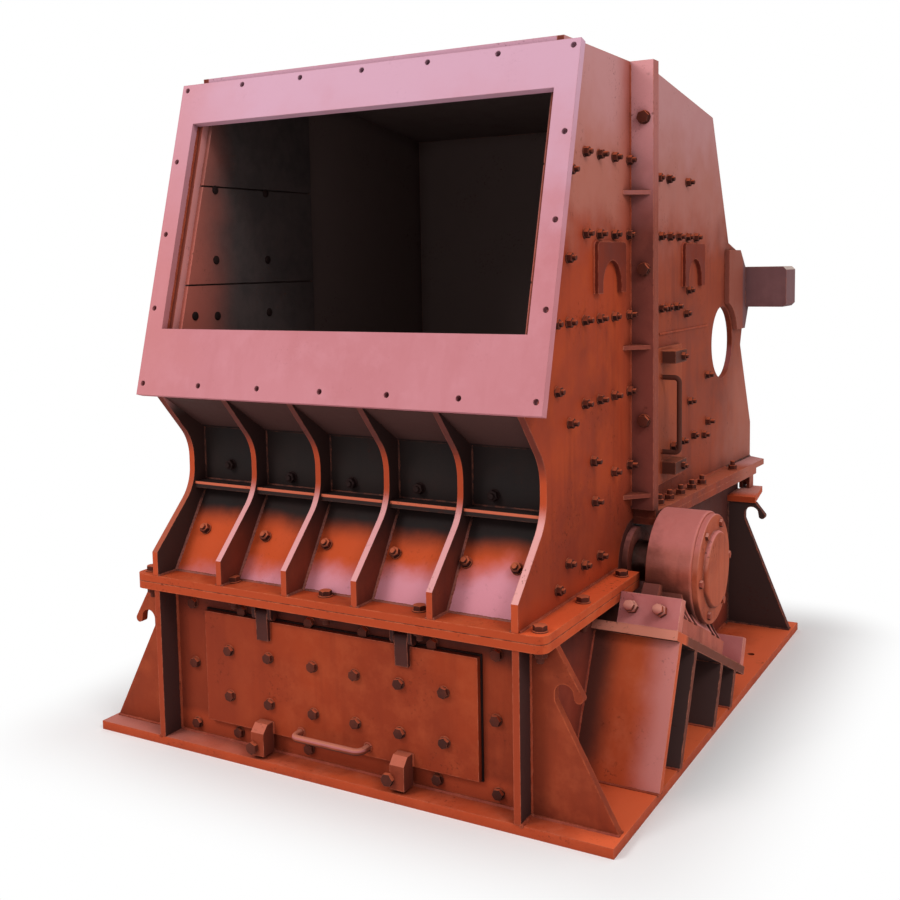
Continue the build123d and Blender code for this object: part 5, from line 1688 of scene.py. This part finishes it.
@dataclass
class LinerDetail:
    """Bolts that hold the liners inside the mouth."""

    lines: Lines
    shop: Paintshop
    spots: tuple[Pair, ...] = (
        (-0.758, 1.871), (-0.766, 1.629), (-0.769, 1.435), (-0.884, 1.440),
        (-0.480, 1.871), (-0.480, 1.629), (-0.480, 1.435),
    )
    liner_thk: float = 0.016
    plug: tuple[Pair, ...] = ((0.015, 0.0), (0.015, 0.003), (0.011, 0.006), (0.005, 0.007))

    def build(self) -> None:
        """Builds domed plugs on both liners."""
        # The plugs are near black, painted shade inside the mouth.
        forge = Forge("liner_plugs")
        for s in SIDES:
            for y, z in self.spots:
                face_x = self.lines.inner_x - self.liner_thk
                place = facing((s * face_x, y, z), (-s, 0.0, 0.0))
                forge.turned(place, self.plug)
        forge.finish(Body.BASE, Slot.WEAR, self.shop.shade_black)


# Stage


@dataclass(frozen=True)
class Lamp:
    """A square lamp that looks at the middle of the machine."""

    name: str
    place: Triple
    size: float
    power: float
    target: Triple = (0.0, 0.0, 1.0)

    def hang(self) -> None:
        """Hangs the lamp."""
        data = bpy.data.lights.new(self.name, "AREA")
        data.size, data.energy = self.size, self.power
        lamp = bpy.data.objects.new(self.name, data)
        lamp.location = self.place
        aim = Vector(self.target) - Vector(self.place)
        lamp.rotation_euler = aim.to_track_quat("-Z", "Y").to_euler()
        bpy.context.scene.collection.objects.link(lamp)


@dataclass
class Studio:
    """Floor, lamps, world and the camera that sees the machine from its right front corner."""

    azimuth: float = math.radians(29.91)
    elevation: float = math.radians(5.58)
    roll: float = math.radians(-1.04)
    place: Triple = (2.024, -3.855, 1.600)
    focal_px: float = 1144.5
    centre_px: Pair = (438.4, 376.3)
    picture_px: float = 900.0
    sensor: float = 36.0
    floor_size: float = 60.0
    sky: float = 0.62
    base_half: Triple = (0.95, 1.09, 0.0)
    floor_clear: Pair = (0.0, 0.48)
    floor_colour: Colour = (0.96, 0.96, 0.96, 1.0)
    floor_rough: float = 0.9
    floor_specular: float = 0.1
    white: Colour = (1.0, 1.0, 1.0, 1.0)
    key: Lamp = Lamp("key", (-2.6, -5.2, 4.6), 1.8, 145.0)
    fill: Lamp = Lamp("fill", (4.6, -2.8, 5.4), 1.6, 100.0)

    def build(self) -> None:
        """Sets the stage."""
        self._camera()
        self._world()
        self.key.hang()
        self.fill.hang()
        self._floor()
        bpy.context.scene.view_settings.view_transform = "Standard"

    def _camera(self) -> None:
        """Places the camera where the photograph was taken."""
        sine, cosine = math.sin(self.azimuth), math.cos(self.azimuth)
        back = Vector((sine * math.cos(self.elevation), -cosine * math.cos(self.elevation),
                       math.sin(self.elevation)))
        right = (-back).cross(UP).normalized()
        up = right.cross(-back)
        x = right * math.cos(self.roll) + up * math.sin(self.roll)
        y = up * math.cos(self.roll) - right * math.sin(self.roll)
        data = bpy.data.cameras.new("camera")
        data.sensor_width = self.sensor
        data.lens = self.sensor * self.focal_px / self.picture_px
        data.shift_x = 0.5 - self.centre_px[0] / self.picture_px
        data.shift_y = self.centre_px[1] / self.picture_px - 0.5
        camera = bpy.data.objects.new("camera", data)
        axes = Matrix((x, y, back)).transposed().to_4x4()
        camera.matrix_world = Matrix.Translation(self.place) @ axes
        bpy.context.scene.collection.objects.link(camera)
        bpy.context.scene.camera = camera

    @staticmethod
    def _seen(net: Net) -> bpy.types.NodeSocket:
        """Picks the rays that see the white ground: from the camera, mirrored or through glass.

        Args:
            net: The net of the world or of the floor.

        Returns:
            One on those rays, nought on the rays that carry light.
        """
        rays = net.add("ShaderNodeLightPath").outputs
        mirrored = net.maths("MAXIMUM", rays["Is Camera Ray"], rays["Is Glossy Ray"])
        return net.maths("MAXIMUM", mirrored, rays["Is Transmission Ray"])

    def _away(self, net: Net) -> bpy.types.NodeSocket:
        """Measures how far a point of the floor lies outside the base plate.

        Args:
            net: The net of the floor.

        Returns:
            The distance, nought under the plate.
        """
        kind = "ShaderNodeVectorMath"
        where = net.add("ShaderNodeTexCoord").outputs["Object"]
        folded = net.add(kind, {0: where}, operation="ABSOLUTE").outputs[0]
        past = net.add(kind, {0: folded, 1: self.base_half}, operation="SUBTRACT").outputs[0]
        beyond = net.add(kind, {0: past, 1: (0.0, 0.0, 0.0)}, operation="MAXIMUM").outputs[0]
        return net.add(kind, {0: beyond}, operation="LENGTH").outputs["Value"]

    def _world(self) -> None:
        """Makes an even pale sky that the camera sees as white."""
        world = bpy.data.worlds.new("studio")
        world.use_nodes = True
        net = Net(world.node_tree)
        seen = self._seen(net)
        sky = world.node_tree.nodes["Background"]
        net.put(sky.inputs["Strength"], net.maths("MULTIPLY_ADD", seen, 1.0 - self.sky, self.sky))
        sky.inputs["Color"].default_value = self.white
        bpy.context.scene.world = world

    def _floor(self) -> None:
        """Lays the pale floor, which keeps the shadow and turns plain white away from it."""
        half = self.floor_size / 2.0
        mesh = bpy.data.meshes.new("floor")
        corners = [(-half, -half, 0.0), (half, -half, 0.0), (half, half, 0.0), (-half, half, 0.0)]
        mesh.from_pydata(corners, [], [(0, 1, 2, 3)])
        material = bpy.data.materials.new("floor")
        material.use_nodes = True
        net = Net(material.node_tree)
        shader = material.node_tree.nodes["Principled BSDF"]
        shader.inputs["Base Color"].default_value = self.floor_colour
        shader.inputs["Roughness"].default_value = self.floor_rough
        shader.inputs["Specular IOR Level"].default_value = self.floor_specular
        clear = net.maths("MULTIPLY", net.ramp(self._away(net), *self.floor_clear), self._seen(net))
        white = net.add("ShaderNodeEmission", {"Color": self.white, "Strength": 1.0}).outputs[0]
        layers = {0: clear, 1: shader.outputs[0], 2: white}
        mixed = net.add("ShaderNodeMixShader", layers).outputs[0]
        net.put(material.node_tree.nodes["Material Output"].inputs["Surface"], mixed)
        mesh.materials.append(material)
        floor = bpy.data.objects.new("floor", mesh)
        bpy.context.scene.collection.objects.link(floor)


def main() -> None:
    """Dresses the machine, piece by piece, and sets the stage."""
    logging.basicConfig(level=logging.INFO, format="%(message)s")
    noise.seed_set(WANDER_SEED)  # without it, Blender seeds noise vectors by the clock
    shop, lines = Paintshop(), Lines()
    shop.dress(frame["nodes"])
    details = (BaseDetail, DoorDetail, RecessDetail, SidePlateDetail, JointDetail, BearingDetail,
               LinerDetail)
    for detail in details:
        detail(lines, shop).build()
    Studio().build()


if __name__ == "__main__":
    main()
